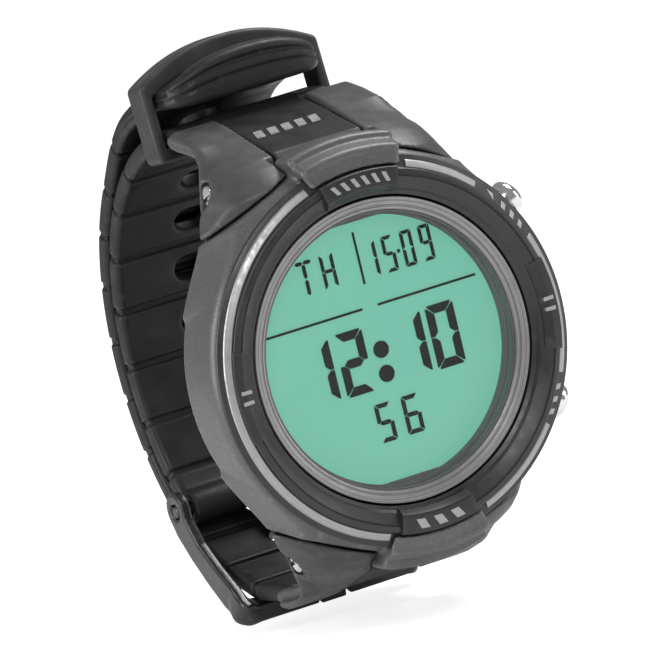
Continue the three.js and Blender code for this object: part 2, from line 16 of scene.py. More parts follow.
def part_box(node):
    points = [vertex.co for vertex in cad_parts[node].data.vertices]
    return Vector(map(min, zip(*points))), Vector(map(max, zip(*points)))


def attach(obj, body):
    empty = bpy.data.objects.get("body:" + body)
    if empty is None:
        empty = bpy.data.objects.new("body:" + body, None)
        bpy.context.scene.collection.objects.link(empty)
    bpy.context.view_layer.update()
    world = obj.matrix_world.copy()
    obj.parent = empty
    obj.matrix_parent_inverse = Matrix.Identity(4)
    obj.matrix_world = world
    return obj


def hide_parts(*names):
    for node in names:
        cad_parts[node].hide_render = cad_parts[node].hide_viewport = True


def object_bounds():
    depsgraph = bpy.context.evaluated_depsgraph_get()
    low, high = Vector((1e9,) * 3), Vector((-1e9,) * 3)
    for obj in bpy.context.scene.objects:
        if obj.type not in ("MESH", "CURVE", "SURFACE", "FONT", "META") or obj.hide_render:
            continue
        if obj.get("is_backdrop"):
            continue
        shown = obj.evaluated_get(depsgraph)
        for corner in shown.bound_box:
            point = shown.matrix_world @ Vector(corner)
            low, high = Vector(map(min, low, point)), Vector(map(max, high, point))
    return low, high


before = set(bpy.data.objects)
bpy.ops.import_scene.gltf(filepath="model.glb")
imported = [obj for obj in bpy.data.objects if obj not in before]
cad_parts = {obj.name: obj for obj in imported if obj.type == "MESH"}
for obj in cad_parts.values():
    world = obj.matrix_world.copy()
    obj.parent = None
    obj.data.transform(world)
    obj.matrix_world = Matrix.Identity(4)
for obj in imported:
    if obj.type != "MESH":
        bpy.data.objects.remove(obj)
cad_low, cad_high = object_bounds()

MM = 0.001
TO_ROW = Matrix(((MM, 0, 0, 0), (0, 0, -MM, 0), (0, MM, 0, 0), (0, 0, 0, 1)))  # case axes to row frame


def case_box(node):
    """Lowest and highest corner of a CAD node in the case's axes, in millimetres."""
    low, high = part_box(node)
    return Vector((low.x, low.z, -high.y)) / MM, Vector((high.x, high.z, -low.y)) / MM


# Driving places, read from the frame
LENS_FRONT = case_box("lens")[1].z
LCD_FACE = case_box("lcd_panel")[1].z
PIN_Y = round((case_box("upper_strap_pin")[0].y + case_box("upper_strap_pin")[1].y) / 2, 2)
PIN_Z = round((case_box("upper_strap_pin")[0].z + case_box("upper_strap_pin")[1].z) / 2, 2)
STRAP_HALF = case_box("upper_strap")[1].x
BUCKLE_HALF = case_box("buckle_frame")[1].x
KEEPER_HALF = case_box("strap_keeper")[1].x
BUCKLE_PIN = tuple((case_box("buckle_pin")[0][i] + case_box("buckle_pin")[1][i]) / 2 for i in (1, 2))

# Shared sizes of the design, in millimetres and degrees
LOOP_Z, LOOP_INNER = -9.8, 26.2
STRAP_THICK, TAB_HALF = 2.2, 5.75
PIN_RADIUS = 0.75
KEEPER_ANGLE, KEEPER_DEPTH = -6.8, 4.1
BUTTON_ANGLE, BUTTON_Z = 30, 8
PARTING = 4.6  # height of the joint between case body and cover
PIN_HEAD = (12.9, 13.6)  # a strap pin's head, as sideways distances
SCREW_REACH = 11.95  # each case back screw's x and y
RING_CENTRE = Vector((0, 0, 13.2))  # middle of the display ring's face


# Meshes

def mesh_object(name, points, faces, place=None):
    """A smooth-shaded object from points in the case's axes, or in local axes that place puts there."""
    matrix = TO_ROW @ (place or Matrix.Identity(4))
    a = np.array(matrix)
    moved = np.asarray(points) @ a[:3, :3].T + a[:3, 3]
    mesh = bpy.data.meshes.new(name)
    mesh.from_pydata(moved.tolist(), [], faces)
    mesh.update()
    mesh.shade_smooth()
    piece = bpy.data.objects.new(name, mesh)
    bpy.context.scene.collection.objects.link(piece)
    return piece


CORNERS = np.array([(i, j, k) for i in (0, 1) for j in (0, 1) for k in (0, 1)])
EDGES = [(a, b) for a in range(8) for b in range(a + 1, 8) if abs(CORNERS[a] - CORNERS[b]).sum() == 1]


def cell_points(values, cells):
    """For each cell that the surface crosses, the middle of its edge crossings, in cell units."""
    at = values[tuple((cells[:, None] + CORNERS).transpose(2, 0, 1))]
    total, count = np.zeros((len(cells), 3)), np.zeros(len(cells))
    for a, b in EDGES:
        crosses = (at[:, a] < 0) != (at[:, b] < 0)
        share = np.where(crosses, at[:, a] / np.where(crosses, at[:, a] - at[:, b], 1), 0)
        total += crosses[:, None] * (CORNERS[a] + share[:, None] * (CORNERS[b] - CORNERS[a]))
        count += crosses
    return cells + total / count[:, None]


def cell_quads(inside, cells, shape):
    """One quad round each grid edge that the surface crosses, facing out."""
    number = np.full(shape, -1, np.int64)
    number[tuple(cells.T)] = np.arange(len(cells))
    quads = []
    for d in range(3):
        e, f = (d + 1) % 3, (d + 2) % 3
        near = inside[tuple(slice(None, -1) if i == d else slice(None) for i in range(3))]
        far = inside[tuple(slice(1, None) if i == d else slice(None) for i in range(3))]
        edge = np.argwhere(near != far)
        corners = []
        for step_e, step_f in ((0, 0), (-1, 0), (-1, -1), (0, -1)):
            cell = edge.copy()
            cell[:, e] += step_e
            cell[:, f] += step_f
            corners.append(number[tuple(cell.T)])
        quad = np.stack(corners, 1)
        outwards = near[tuple(edge.T)]
        quads += [quad[outwards], quad[~outwards][:, ::-1]]
    return np.concatenate(quads)


def settle(field, points, step):
    """Slides the points onto the surface along the field's slope."""
    nudge = 0.02
    for _ in range(4):
        value = field(*points.T)
        slope = np.stack([
            (field(*(points + offset).T) - field(*(points - offset).T)) / (2 * nudge)
            for offset in np.eye(3) * nudge
        ], 1)
        size = np.maximum((slope ** 2).sum(1), 0.3)
        points = points - np.clip(value / size, -step / 3, step / 3)[:, None] * slope
    return points


def surface(name, field, low, high, step, place=None):
    """A closed mesh of the space between low and high where the field is negative."""
    axes = [np.arange(a - 2 * step, b + 3 * step, step) for a, b in zip(low, high)]
    shape = tuple(len(a) for a in axes)
    values = np.array(np.broadcast_to(field(*np.meshgrid(*axes, indexing="ij", sparse=True)), shape))
    inside = values < 0
    count = sum(
        inside[tuple(slice(c, n - 1 + c) for c, n in zip(corner, shape))].astype(np.int8)
        for corner in CORNERS
    )
    cells = np.argwhere((count > 0) & (count < 8))
    points = np.array([a[0] for a in axes]) + step * cell_points(values, cells)
    quads = cell_quads(inside, cells, count.shape)
    return mesh_object(name, settle(field, points, step), quads.tolist(), place)


def rounded(profile, radius, steps=3):
    """A closed profile with its corners rounded, apart from those on the axis."""
    points = []
    corners = [Vector(p) for p in profile]
    for before, at, after in zip(corners[-1:] + corners[:-1], corners, corners[1:] + corners[:1]):
        if at.x == 0:
            points.append(tuple(at))
            continue
        reach = min(radius, (before - at).length / 2.2, (after - at).length / 2.2)
        start, end = at + (before - at).normalized() * reach, at + (after - at).normalized() * reach
        for i in range(steps + 1):
            t = i / steps
            points.append(tuple(start * (1 - t) ** 2 + at * 2 * t * (1 - t) + end * t * t))
    return points


def skin(name, sections, open_ended=False, place=None, bevel=0.0):
    """A closed mesh through closed sections in order, back to the first or with both ends capped."""
    n, count = len(sections[0]), len(sections)
    faces = []
    for i in range(count - 1 if open_ended else count):
        j = (i + 1) % count
        faces += [(i * n + k, i * n + (k + 1) % n, j * n + (k + 1) % n, j * n + k) for k in range(n)]
    if open_ended:
        faces += [tuple(range(n)), tuple(reversed(range((count - 1) * n, count * n)))]
    return hard_edged(name, [point for section in sections for point in section], faces, place, bevel)


def lathe(name, profile, span=None, segments=240, place=None, bevel=0.0, radius=0.08):
    """A closed profile of (radius, z) corners turned about z, all the way or over a span of degrees."""
    outline = rounded(profile, radius)
    start, end = span or (0, 360)
    turns = max(3, round(segments * (end - start) / 360))
    angles = np.radians(np.linspace(start, end, turns + 1))[: turns + (1 if span else 0)]
    sections = [[(r * math.cos(a), r * math.sin(a), z) for r, z in outline] for a in angles]
    return skin(name, sections, bool(span), place, bevel)


def hard_edged(name, points, faces, place=None, bevel=0.0):
    """A mesh object with doubled points merged, faces out, sharp edges marked and small bevels."""
    piece = mesh_object(name, points, faces, place)
    made = bmesh.new()
    made.from_mesh(piece.data)
    bmesh.ops.remove_doubles(made, verts=made.verts, dist=1e-7)
    bmesh.ops.recalc_face_normals(made, faces=made.faces)
    made.to_mesh(piece.data)
    made.free()
    piece.data.shade_smooth()
    piece.data.set_sharp_from_angle(angle=math.radians(32))
    if bevel:
        soft = piece.modifiers.new("soft_edges", "BEVEL")
        soft.width = bevel * MM
        soft.segments = 2
        soft.limit_method = "ANGLE"
        soft.angle_limit = math.radians(40)
        soft.harden_normals = True
    return piece


def prisms(name, outlines, z0, z1, place=None, bevel=0.0):
    """Flat bars of [x, y] outlines between two heights, as one piece."""
    points, faces = [], []
    for outline in outlines:
        first, n = len(points), len(outline)
        points += [(x, y, z) for z in (z0, z1) for x, y in outline]
        faces.append(tuple(first + k for k in reversed(range(n))))
        faces.append(tuple(first + n + k for k in range(n)))
        faces += [(first + k, first + (k + 1) % n, first + n + (k + 1) % n, first + n + k) for k in range(n)]
    return hard_edged(name, points, faces, place, bevel)


# Distances

def polygon(u, v, outline):
    """Distance in a plane to a closed outline, negative inside."""
    nearest = np.full(np.broadcast(u, v).shape, 1e9)
    inside = np.zeros(nearest.shape, bool)
    for (au, av), (bu, bv) in zip(outline, outline[1:] + outline[:1]):
        du, dv, eu, ev = u - au, v - av, bu - au, bv - av
        share = np.clip((du * eu + dv * ev) / (eu * eu + ev * ev), 0, 1)
        nearest = np.minimum(nearest, (du - share * eu) ** 2 + (dv - share * ev) ** 2)
        if av != bv:
            inside ^= ((av > v) != (bv > v)) & (du < dv * eu / ev)
    return np.where(inside, -1, 1) * np.sqrt(nearest)


def meet(a, b, radius=0.3):
    """What two shapes share, with the edge between them rounded."""
    corner = np.hypot(np.maximum(a + radius, 0), np.maximum(b + radius, 0))
    return np.minimum(np.maximum(a, b), -radius) + corner


def join(a, b, radius=0.3):
    """Two shapes together, with a fillet between them."""
    corner = np.hypot(np.maximum(radius - a, 0), np.maximum(radius - b, 0))
    return np.maximum(np.minimum(a, b), radius) - corner


def carve(a, b, radius=0.2):
    """A shape with another taken out, with a rounded rim."""
    return meet(a, -b, radius)


def both(*shapes):
    """What all the shapes share, with hard edges."""
    return reduce(np.maximum, shapes)


def slab(value, low, high):
    return both(low - value, value - high)


def on_loop(reach, angle):
    """A place in side view (y, z), polar about the middle of the strap loop; 0 is 12 o'clock."""
    a = math.radians(angle)
    return reach * math.cos(a), LOOP_Z + reach * math.sin(a)


def loop_places(y, z):
    """Reach and angle in degrees about the middle of the strap loop."""
    return np.hypot(y, z - LOOP_Z), np.degrees(np.arctan2(z - LOOP_Z, y))


def eased(stations, angle):
    """Value at an angle, easing between (angle, value) stations."""
    angles, values = (np.array(column, float) for column in zip(*stations))
    index = np.clip(np.searchsorted(angles, angle) - 1, 0, len(angles) - 2)
    share = np.clip((angle - angles[index]) / (angles[index + 1] - angles[index]), 0, 1)
    share = share * share * (3 - 2 * share)
    return values[index] * (1 - share) + values[index + 1] * share


# Materials

MATERIALS = {}  # by name, filled by Finish


class Finish:
    """A material on one Principled shader, with patterns laid out in the object's own millimetres."""

    def __init__(self, name, colour, roughness, metallic=0.0, **sockets):
        self.material = MATERIALS[name] = bpy.data.materials.new(name)
        self.material.use_nodes = True
        self.tree = self.material.node_tree
        self.shader = self.tree.nodes["Principled BSDF"]
        self.set(self.shader, "Base Color", (*colour, 1))
        self.set(self.shader, "Roughness", roughness)
        self.set(self.shader, "Metallic", metallic)
        for socket, value in sockets.items():
            self.set(self.shader, socket.replace("_", " "), value)
        self.colour, self.height = (*colour, 1), None
        place = self.add("ShaderNodeTexCoord").outputs["Object"]
        scale = self.add("ShaderNodeVectorMath", operation="SCALE")
        self.link(place, scale.inputs[0])
        self.set(scale, "Scale", 1 / MM)
        self.place = scale.outputs[0]

    def add(self, kind, **settings):
        node = self.tree.nodes.new(kind)
        for key, value in settings.items():
            setattr(node, key, value)
        return node

    def set(self, node, socket, value):
        node.inputs[socket].default_value = value

    def link(self, source, socket):
        self.tree.links.new(source, socket)

    def noise(self, size, detail=3.0, stretch=(1, 1, 1), place=None):
        """Soft noise whose features are about size millimetres, 0.5 in the middle."""
        mapping = self.add("ShaderNodeMapping")
        self.link(place or self.place, mapping.inputs["Vector"])
        self.set(mapping, "Scale", stretch)
        node = self.add("ShaderNodeTexNoise")
        self.link(mapping.outputs[0], node.inputs["Vector"])
        self.set(node, "Scale", 1 / size)
        self.set(node, "Detail", detail)
        return node.outputs["Fac"]

    def specks(self, size):
        """Random cells of about size millimetres, from 0 to 1."""
        node = self.add("ShaderNodeTexVoronoi")
        self.link(self.place, node.inputs["Vector"])
        self.set(node, "Scale", 1 / size)
        split = self.add("ShaderNodeSeparateColor")
        self.link(node.outputs["Color"], split.inputs[0])
        return split.outputs[0]

    def radius(self):
        """Distance from the case's axis, as a vector that noise can follow, for turned lines."""
        flat = self.add("ShaderNodeVectorMath", operation="MULTIPLY")
        self.link(self.place, flat.inputs[0])
        flat.inputs[1].default_value = (1, 0, 1)
        length = self.add("ShaderNodeVectorMath", operation="LENGTH")
        self.link(flat.outputs[0], length.inputs[0])
        joined = self.add("ShaderNodeCombineXYZ")
        self.link(length.outputs["Value"], joined.inputs[0])
        return joined.outputs[0]

    def edges(self, low=0.5, high=0.56):
        """From pointiness: 1 on convex edges, 0 elsewhere, or 1 in hollows when low is above high."""
        return self.fit(self.add("ShaderNodeNewGeometry").outputs["Pointiness"], low, high)

    def fit(self, source, low, high, out_low=0.0, out_high=1.0):
        node = self.add("ShaderNodeMapRange", interpolation_type="SMOOTHSTEP")
        self.link(source, node.inputs["Value"])
        sockets = {"From Min": low, "From Max": high, "To Min": out_low, "To Max": out_high}
        for socket, value in sockets.items():
            self.set(node, socket, value)
        return node.outputs[0]

    def tint(self, source, low, high, colour, most=1.0):
        """Mixes in another colour, from none of it where the source is low to most where it is high."""
        mix = self.add("ShaderNodeMix", data_type="RGBA")
        self.link(self.fit(source, low, high, 0, most), mix.inputs["Factor"])
        base = self.shader.inputs["Base Color"]
        if base.links:
            self.link(base.links[0].from_socket, mix.inputs[6])
        else:
            mix.inputs[6].default_value = self.colour
        mix.inputs[7].default_value = (*colour, 1)
        self.link(mix.outputs[2], base)

    def roughen(self, source, low, high, out_low, out_high):
        self.link(self.fit(source, low, high, out_low, out_high), self.shader.inputs["Roughness"])

    def bump(self, source, depth, strength=1.0):
        """Relief of depth millimetres between 0 and 1 of the source; several calls add up."""
        node = self.add("ShaderNodeBump")
        self.set(node, "Strength", strength)
        self.set(node, "Distance", depth * MM)
        self.link(source, node.inputs["Height"])
        normal = self.shader.inputs["Normal"]
        if normal.links:
            self.link(normal.links[0].from_socket, node.inputs["Normal"])
        self.link(node.outputs[0], normal)


def mixed(tree, factor, first, second, output="Material Output"):
    """Ends a node tree in a mix of two shaders."""
    mix = tree.nodes.new("ShaderNodeMixShader")
    for source, socket in zip((factor, first.outputs[0], second.outputs[0]), mix.inputs):
        tree.links.new(source, socket)
    tree.links.new(mix.outputs[0], tree.nodes[output].inputs["Surface"])


def moulded(name, colour, light, roughness, grain=0.22, relief=0.012, wear_and_highlight=0.5, metallic=0.0, **sockets):
    """Moulded plastic: fine spark-eroded grain, cloudy tone, and paler edges, partly wear and partly a
    painted highlight on polished rims.
    """
    finish = Finish(name, colour, roughness, metallic, **sockets)
    finish.tint(finish.noise(6), 0.35, 0.7, light)
    finish.tint(finish.specks(grain * 0.7), 0.55, 1.0, light, 0.22)
    wear_and_highlight_colour = tuple(min(1, c * 1.8) for c in light)
    # paler edges: partly wear, partly a painted highlight along them
    finish.tint(finish.edges(), 0, 1, wear_and_highlight_colour, wear_and_highlight)
    finish.roughen(finish.noise(1.5), 0.3, 0.7, roughness - 0.06, roughness + 0.08)
    finish.bump(finish.noise(grain, 2), relief)
    finish.bump(finish.noise(3.5, 2), relief * 1.5)


def cover_grey():
    """Satin grey plastic with a fine metal flake, and paler edges that are partly wear and partly painted
    highlight.
    """
    finish = Finish("cover_grey", (0.094, 0.094, 0.096), 0.40, 0.2)
    finish.tint(finish.noise(7), 0.35, 0.7, (0.112, 0.112, 0.114))
    finish.tint(finish.specks(0.13), 0.72, 1.0, (0.19, 0.19, 0.195), 0.45)
    # paler edges: partly wear, partly a painted highlight
    finish.tint(finish.edges(0.515, 0.60), 0, 1, (0.24, 0.24, 0.245), 0.35)
    finish.roughen(finish.specks(0.17), 0.2, 1.0, 0.34, 0.48)
    finish.bump(finish.noise(0.18, 2), 0.010)
    finish.bump(finish.noise(1.1, 3, (1, 0.35, 1)), 0.006)


def rubber(name, colour, roughness=0.45):
    """Soft moulded rubber: dull, dusty in places, with a fine pebble and a painted sheen on its edges."""
    finish = Finish(name, colour, roughness, Specular_IOR_Level=0.3)
    pale = tuple(c * 1.5 for c in colour)
    finish.tint(finish.noise(5, 4), 0.4, 0.75, pale)
    # painted sheen: edges paler where pointiness is high
    finish.tint(finish.edges(0.505, 0.57), 0, 1, tuple(c * 2.6 for c in colour), 0.5)
    finish.roughen(finish.noise(2.2, 4), 0.3, 0.7, roughness - 0.07, roughness + 0.09)
    finish.bump(finish.noise(0.16, 2), 0.008)
    finish.bump(finish.noise(2.5, 2), 0.02)


def turned_metal(name, colour, dark, roughness, metallic=0.9, pitch=0.07):
    """Metal or metallic paint with fine lines turned round the case's axis."""
    finish = Finish(name, colour, roughness, metallic)
    lines = finish.noise(pitch, 2, place=finish.radius())
    finish.tint(lines, 0.35, 0.7, dark)
    finish.tint(finish.noise(2.4), 0.45, 0.75, dark, 0.35)
    finish.roughen(finish.noise(0.6, 3), 0.3, 0.7, roughness - 0.08, roughness + 0.1)
    finish.bump(lines, 0.006)


def steel(name, colour, roughness, line=0.25):
    """Machined steel with faint tool lines, smears and painted shade in its hollows."""
    finish = Finish(name, colour, roughness, 1.0)
    # painted shade: darker in hollows, where pointiness is low
    finish.tint(finish.edges(0.46, 0.38), 0, 1, tuple(c * 0.4 for c in colour), 0.4)
    finish.tint(finish.noise(1.2), 0.4, 0.7, tuple(c * 0.8 for c in colour), 0.3)
    finish.roughen(finish.noise(0.9, 4), 0.3, 0.7, roughness * 0.6, roughness * 1.6)
    finish.bump(finish.noise(line, 3, (0.1, 1, 1)), 0.002)


def display_green():
    """The liquid crystal field: pale green with a painted glow that keeps it evenly bright through shade, a
    little deeper towards one side, with a fine dot.
    """
    # the emission is painted light: a glow that lifts the field out of the shade of the ring and bezel
    finish = Finish("display_green", (0.06, 0.165, 0.125), 0.5, Emission_Color=(0.178, 0.505, 0.375, 1),
                    Emission_Strength=0.78, Specular_IOR_Level=0.2)
    finish.tint(finish.noise(16, 1), 0.35, 0.7, (0.045, 0.15, 0.125))
    finish.tint(finish.noise(0.25, 1), 0.4, 0.8, (0.09, 0.2, 0.16), 0.12)
    finish.roughen(finish.noise(3), 0.3, 0.7, 0.42, 0.56)
    finish.bump(finish.noise(0.3, 2), 0.002)


def lens_glass():
    """Clear mineral glass: light goes straight through, with a faint reflection and smears."""
    finish = Finish("lens_glass", (1, 1, 1), 0.02)
    clear = finish.add("ShaderNodeBsdfTransparent")
    clear.inputs[0].default_value = (0.985, 0.995, 0.99, 1)
    gloss = finish.add("ShaderNodeBsdfGlossy")
    finish.link(finish.fit(finish.noise(7, 4), 0.4, 0.8, 0.01, 0.09), gloss.inputs["Roughness"])
    facing = finish.add("ShaderNodeLayerWeight").outputs["Facing"]
    mixed(finish.tree, finish.fit(facing, 0.25, 1.0, 0.012, 0.3), clear, gloss)
    finish.tree.nodes.remove(finish.shader)


def circuit_green():
    """Solder mask over faint tracks."""
    finish = Finish("circuit_green", (0.012, 0.10, 0.04), 0.35)
    tracks = finish.add("ShaderNodeTexBrick")
    finish.link(finish.place, tracks.inputs["Vector"])
    finish.set(tracks, "Scale", 0.6)
    finish.tint(tracks.outputs["Fac"], 0.3, 0.7, (0.05, 0.24, 0.09), 0.7)
    finish.roughen(finish.noise(1), 0.3, 0.7, 0.28, 0.45)
    finish.bump(finish.noise(0.4), 0.01)


def materials():
    cover_grey()
    moulded("horn_grey", (0.048, 0.048, 0.049), (0.060, 0.060, 0.061), 0.42, 0.2, 0.010, 0.3)
    moulded("bezel_black", (0.021, 0.021, 0.0215), (0.028, 0.028, 0.0285), 0.34, 0.16, 0.006, 0.25)
    # its strong edge tint paints a highlight round the inserts' rims
    moulded("insert_black", (0.015, 0.015, 0.0155), (0.021, 0.021, 0.0215), 0.36, 0.16, 0.006, 0.8)
    turned_metal("silver_trim", (0.44, 0.44, 0.445), (0.30, 0.30, 0.305), 0.44, 0.75, 0.12)
    turned_metal("silver_print", (0.42, 0.42, 0.425), (0.34, 0.34, 0.345), 0.42, 0.5, 0.12)
    turned_metal("ring_grey", (0.33, 0.323, 0.323), (0.20, 0.195, 0.195), 0.38, 0.5, 0.16)
    moulded("mask_grey", (0.118, 0.113, 0.117), (0.135, 0.13, 0.134), 0.6, 0.3, 0.004, 0.1)
    display_green()
    moulded(
        "display_black", (0.008, 0.011, 0.009), (0.012, 0.015, 0.013), 0.6, 0.3, 0.002, 0.0,
        Specular_IOR_Level=0.15,
    )
    lens_glass()
    rubber("seal_rubber", (0.012, 0.012, 0.012))
    rubber("strap_rubber", (0.015, 0.015, 0.0152))
    rubber("keeper_rubber", (0.034, 0.034, 0.0345), 0.42)
    moulded("buckle_black", (0.020, 0.020, 0.0205), (0.028, 0.028, 0.029), 0.22, 0.2, 0.004, 0.5)
    moulded("inner_white", (0.68, 0.68, 0.65), (0.75, 0.75, 0.72), 0.5, 0.3, 0.01, 0.1)
    circuit_green()
    steel("polished_steel", (0.62, 0.62, 0.63), 0.14)
    steel("brushed_steel", (0.50, 0.50, 0.51), 0.28, 0.12)
    steel("dark_steel", (0.10, 0.10, 0.105), 0.3)
    turned_metal("back_steel", (0.46, 0.46, 0.47), (0.36, 0.36, 0.37), 0.3, 1.0, 0.2)
    steel("chrome", (0.78, 0.78, 0.79), 0.07, 0.3)
    turned_metal("cell_steel", (0.6, 0.6, 0.6), (0.45, 0.45, 0.45), 0.25, 1.0, 0.2)


def finished(piece, material, body, slot, *nodes):
    """Gives a piece its material and body, and hides the CAD nodes that it stands for. The slot is not used.
    """
    piece.data.materials.clear()
    piece.data.materials.append(MATERIALS[material])
    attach(piece, body)
    if nodes:
        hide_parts(*nodes)
    return piece


# Case body and cover

BORE, GAP = 20.9, 0.3
COVER_RADIUS = 22.5
SHOULDER = (17.0, 17.6)  # where the cover's flank ends and a horn begins


def leaning(ax, z):
    """Sideways distance, as a flank that leans in above and below the parting line sees it."""
    return ax + 0.34 * np.maximum(z - PARTING, 0) + 0.25 * np.clip(PARTING - z, 0, 3.4)


def cover_plan(x, y, z, grow=0.0):
    """The cover seen from the front: a disc with four shoulders, larger by grow all round."""
    shoulders = [(0, 0), (20.9, 10.3), SHOULDER, (7.55, 21.6), (5.8, 21.6)]
    disc = np.hypot(x, y) - COVER_RADIUS
    back = abs(y) - 0.3 * (z - 8.0)  # the shoulders' ends slope with height
    return join(disc, 0.9 * polygon(leaning(abs(x), z), back, shoulders), 0.9) - grow


def button_axis(x, y, z):
    """Distance from the nearer button's axis, and the place along it, for points right of the middle."""
    a = math.radians(BUTTON_ANGLE)
    along = x * math.cos(a) + abs(y) * math.sin(a)
    return np.hypot(abs(y) * math.cos(a) - x * math.sin(a), z - BUTTON_Z), along


def horn_field(x, y, z):
    """The four horns: each a hood over the strap's root, with an ear set in behind its rear rim."""
    ax, ay = abs(x), abs(y)
    hood = [
        (12, 0.8), (22, 0.2), (24.7, 0.2), (25.9, -0.4), (26.5, -1.8), (26.9, -3.8), (27.1, -6.4),
        (27.5, -7.4), (28.1, -7.4), (28.5, -6.4), (27.9, -3.6), (27.0, -0.8), (26.1, 1.8), (25.25, 4.4),
        (24.5, 6.5), (23.65, 8.4), (22.6, 10.0), (21.4, 11.3), (12, 11.3),
    ]
    ear = [
        (22, 3), (22.6, 0.2), (24.3, -0.4), (25.1, -1.8), (25.6, -4), (25.9, -6.4), (26.3, -8.2),
        (26.9, -8.9), (27.6, -8.8), (28.1, -7.8), (28.3, -6.4), (27.7, -3.6), (26.8, -0.8), (26, 1.6),
        (25, 3),
    ]
    plan = [
        (3, 12), (SHOULDER[0], 12), (SHOULDER[0], 17.8), (15.4, 20.2), (14.5, 22), (13.9, 24), (13.3, 26),
        (12.5, 29.5), (3, 29.5),
    ]
    crown = 0.055 * np.maximum(ax - 7.5, 0) ** 2 * np.clip(z / 3, 0, 1) * np.clip((12.3 - z) / 1.5, 0, 1)
    from_rim = polygon(ay, z, hood) + crown
    bead = 0.2 * np.exp(-((from_rim + 0.6) / 0.35) ** 2) * (z < 3)  # a rounded lip along the rear rim
    outside = meet(0.94 * polygon(leaning(ax, z), ay, plan) - bead, from_rim, 0.8)
    inner = meet(slab(ax, 9.8, 11.5), polygon(ay, z, ear) + 1.5 * crown + 0.1, 0.45)
    return np.minimum(meet(outside, TAB_HALF + GAP - ax, 0.15), inner)


def pin_tools(x, y, z):
    """Room for the strap pins: a hole, a recess round each head and a hollow for the strap's root."""
    ax, from_axis = abs(x), np.hypot(abs(y) - PIN_Y, z - PIN_Z)
    recess = both(from_axis - 1.75, PIN_HEAD[0] - 0.1 - ax)
    hollow = both(from_axis - 2.1, ax - TAB_HALF - GAP)
    return np.minimum(np.minimum(from_axis - PIN_RADIUS - GAP, recess), hollow)


def case_field(x, y, z):
    cup = [
        (15.5, 1.9), (19.4, 1.9), (19.4, 0.5), (20.2, 0.5), (20.6, 1.4), (20.6, 11.3), (18.9, 11.3),
        (18.9, 3.1), (15.5, 3.1),
    ]
    r, ax, ay = np.hypot(x, y), abs(x), abs(y)
    horns = carve(horn_field(x, y, z), both(r - 20.1, 0), 0.1)
    cover_room = both(cover_plan(x, y, z, GAP), PARTING - GAP - z)
    horns = carve(horns, cover_room, 0.22)
    guard_room = both(slab(r, 20, 26), slab(z, 6.8, 16), ax - 0.292 * ay)
    horns = carve(horns, guard_room, 0.15)
    body = carve(join(polygon(r, z, cup), horns, 0.5), pin_tools(x, y, z), 0.22)
    across, along = button_axis(x, y, z)
    holes = both(across - 2.5, slab(along, 15, 21))
    screws = both(np.hypot(ax - SCREW_REACH, ay - SCREW_REACH) - 1, z - 4)
    return both(body, -holes, -screws)


def case_body():
    piece = surface("case_body_shell", case_field, (-21, -28.6, -9.4), (21, 28.6, 11.4), 0.3)
    finished(piece, "horn_grey", "case", "case_grey", "case_body")


def guard_profile():
    """A guard block in radius and z: a broad inner shelf, a round ridge, a valley and an outer step."""
    return [
        (22.5, 7.0), (24.0, 7.0), (24.9, 8.4), (25.05, 11.5), (24.75, 12.1), (24.15, 12.25),
        (23.85, 13.0), (23.5, 13.85), (23.1, 14.1), (22.75, 13.95), (21.35, 14.3), (21.2, 13.95),
        (22.5, 13.1),
    ]


def cover_field(x, y, z):
    r, ax, ay = np.hypot(x, y), abs(x), abs(y)
    dome = [
        (0, PARTING), (27.2, PARTING), (26.6, 6.4), (25.2, 8.7), (24.0, 10.3), (23.1, 11.3), (22.6, 11.9),
        (21.9, 12.65), (0, 12.65),
    ]
    shell = meet(polygon(r, z, dome), cover_plan(x, y, z), 0.55)
    shell = carve(shell, both(r - BORE, 0), 0.25)
    half = math.radians(16)  # angle from a guard's middle to its ends
    ends = ax * math.cos(half) - ay * math.sin(half)
    guard = meet(polygon(r, z, guard_profile()) - 0.05, ends, 0.5)
    body = join(shell, guard, 0.6)
    root_room = both(ax - 6.2, 19 - ay, z - 6.4)
    across, along = button_axis(x, y, z)
    collar = join(body, meet(across - 3.7, slab(along, 20.95, 22.75), 0.3), 0.6)
    body = np.where(along > 18, collar, body)
    return carve(carve(body, root_room, 0.25), both(across - 3, 18 - along), 0.25)


def top_cover():
    piece = surface("top_cover_shell", cover_field, (-23.4, -25.4, 4.4), (23.4, 25.4, 14.6), 0.3)
    finished(piece, "cover_grey", "case", "case_grey", "top_cover")


# Bezel and its trim

BROW, LIP = 19.9, 20.75


def bezel():
    profile = [
        (17.75, 11.6), (20.6, 11.6), (20.6, 12.95), (22.4, 12.95), (22.3, 13.25), (21.75, 13.5),
        (20.8, 13.9), (LIP, 14.4), (LIP - 0.12, 14.52), (BROW + 0.14, 14.66), (BROW + 0.1, 14.46),
        (BROW - 0.06, 14.46), (BROW - 0.1, 14.62), (18.5, 13.78), (18.2, 13.45), (17.75, 13.2),
    ]
    piece = lathe("bezel_ring", profile, radius=0.06, segments=320)
    finished(piece, "bezel_black", "case", "bezel_black", "bezel")


def around(outline, middle):
    """An outline of (radius, degrees from the middle) corners as [x, y] corners, with short arcs."""
    points = []
    for (r0, a0), (r1, a1) in zip(outline, outline[1:] + outline[:1]):
        steps = max(1, round(abs(a1 - a0)))
        for i in range(steps):
            r, a = r0 + (r1 - r0) * i / steps, math.radians(middle + a0 + (a1 - a0) * i / steps)
            points.append((r * math.cos(a), r * math.sin(a)))
    return points


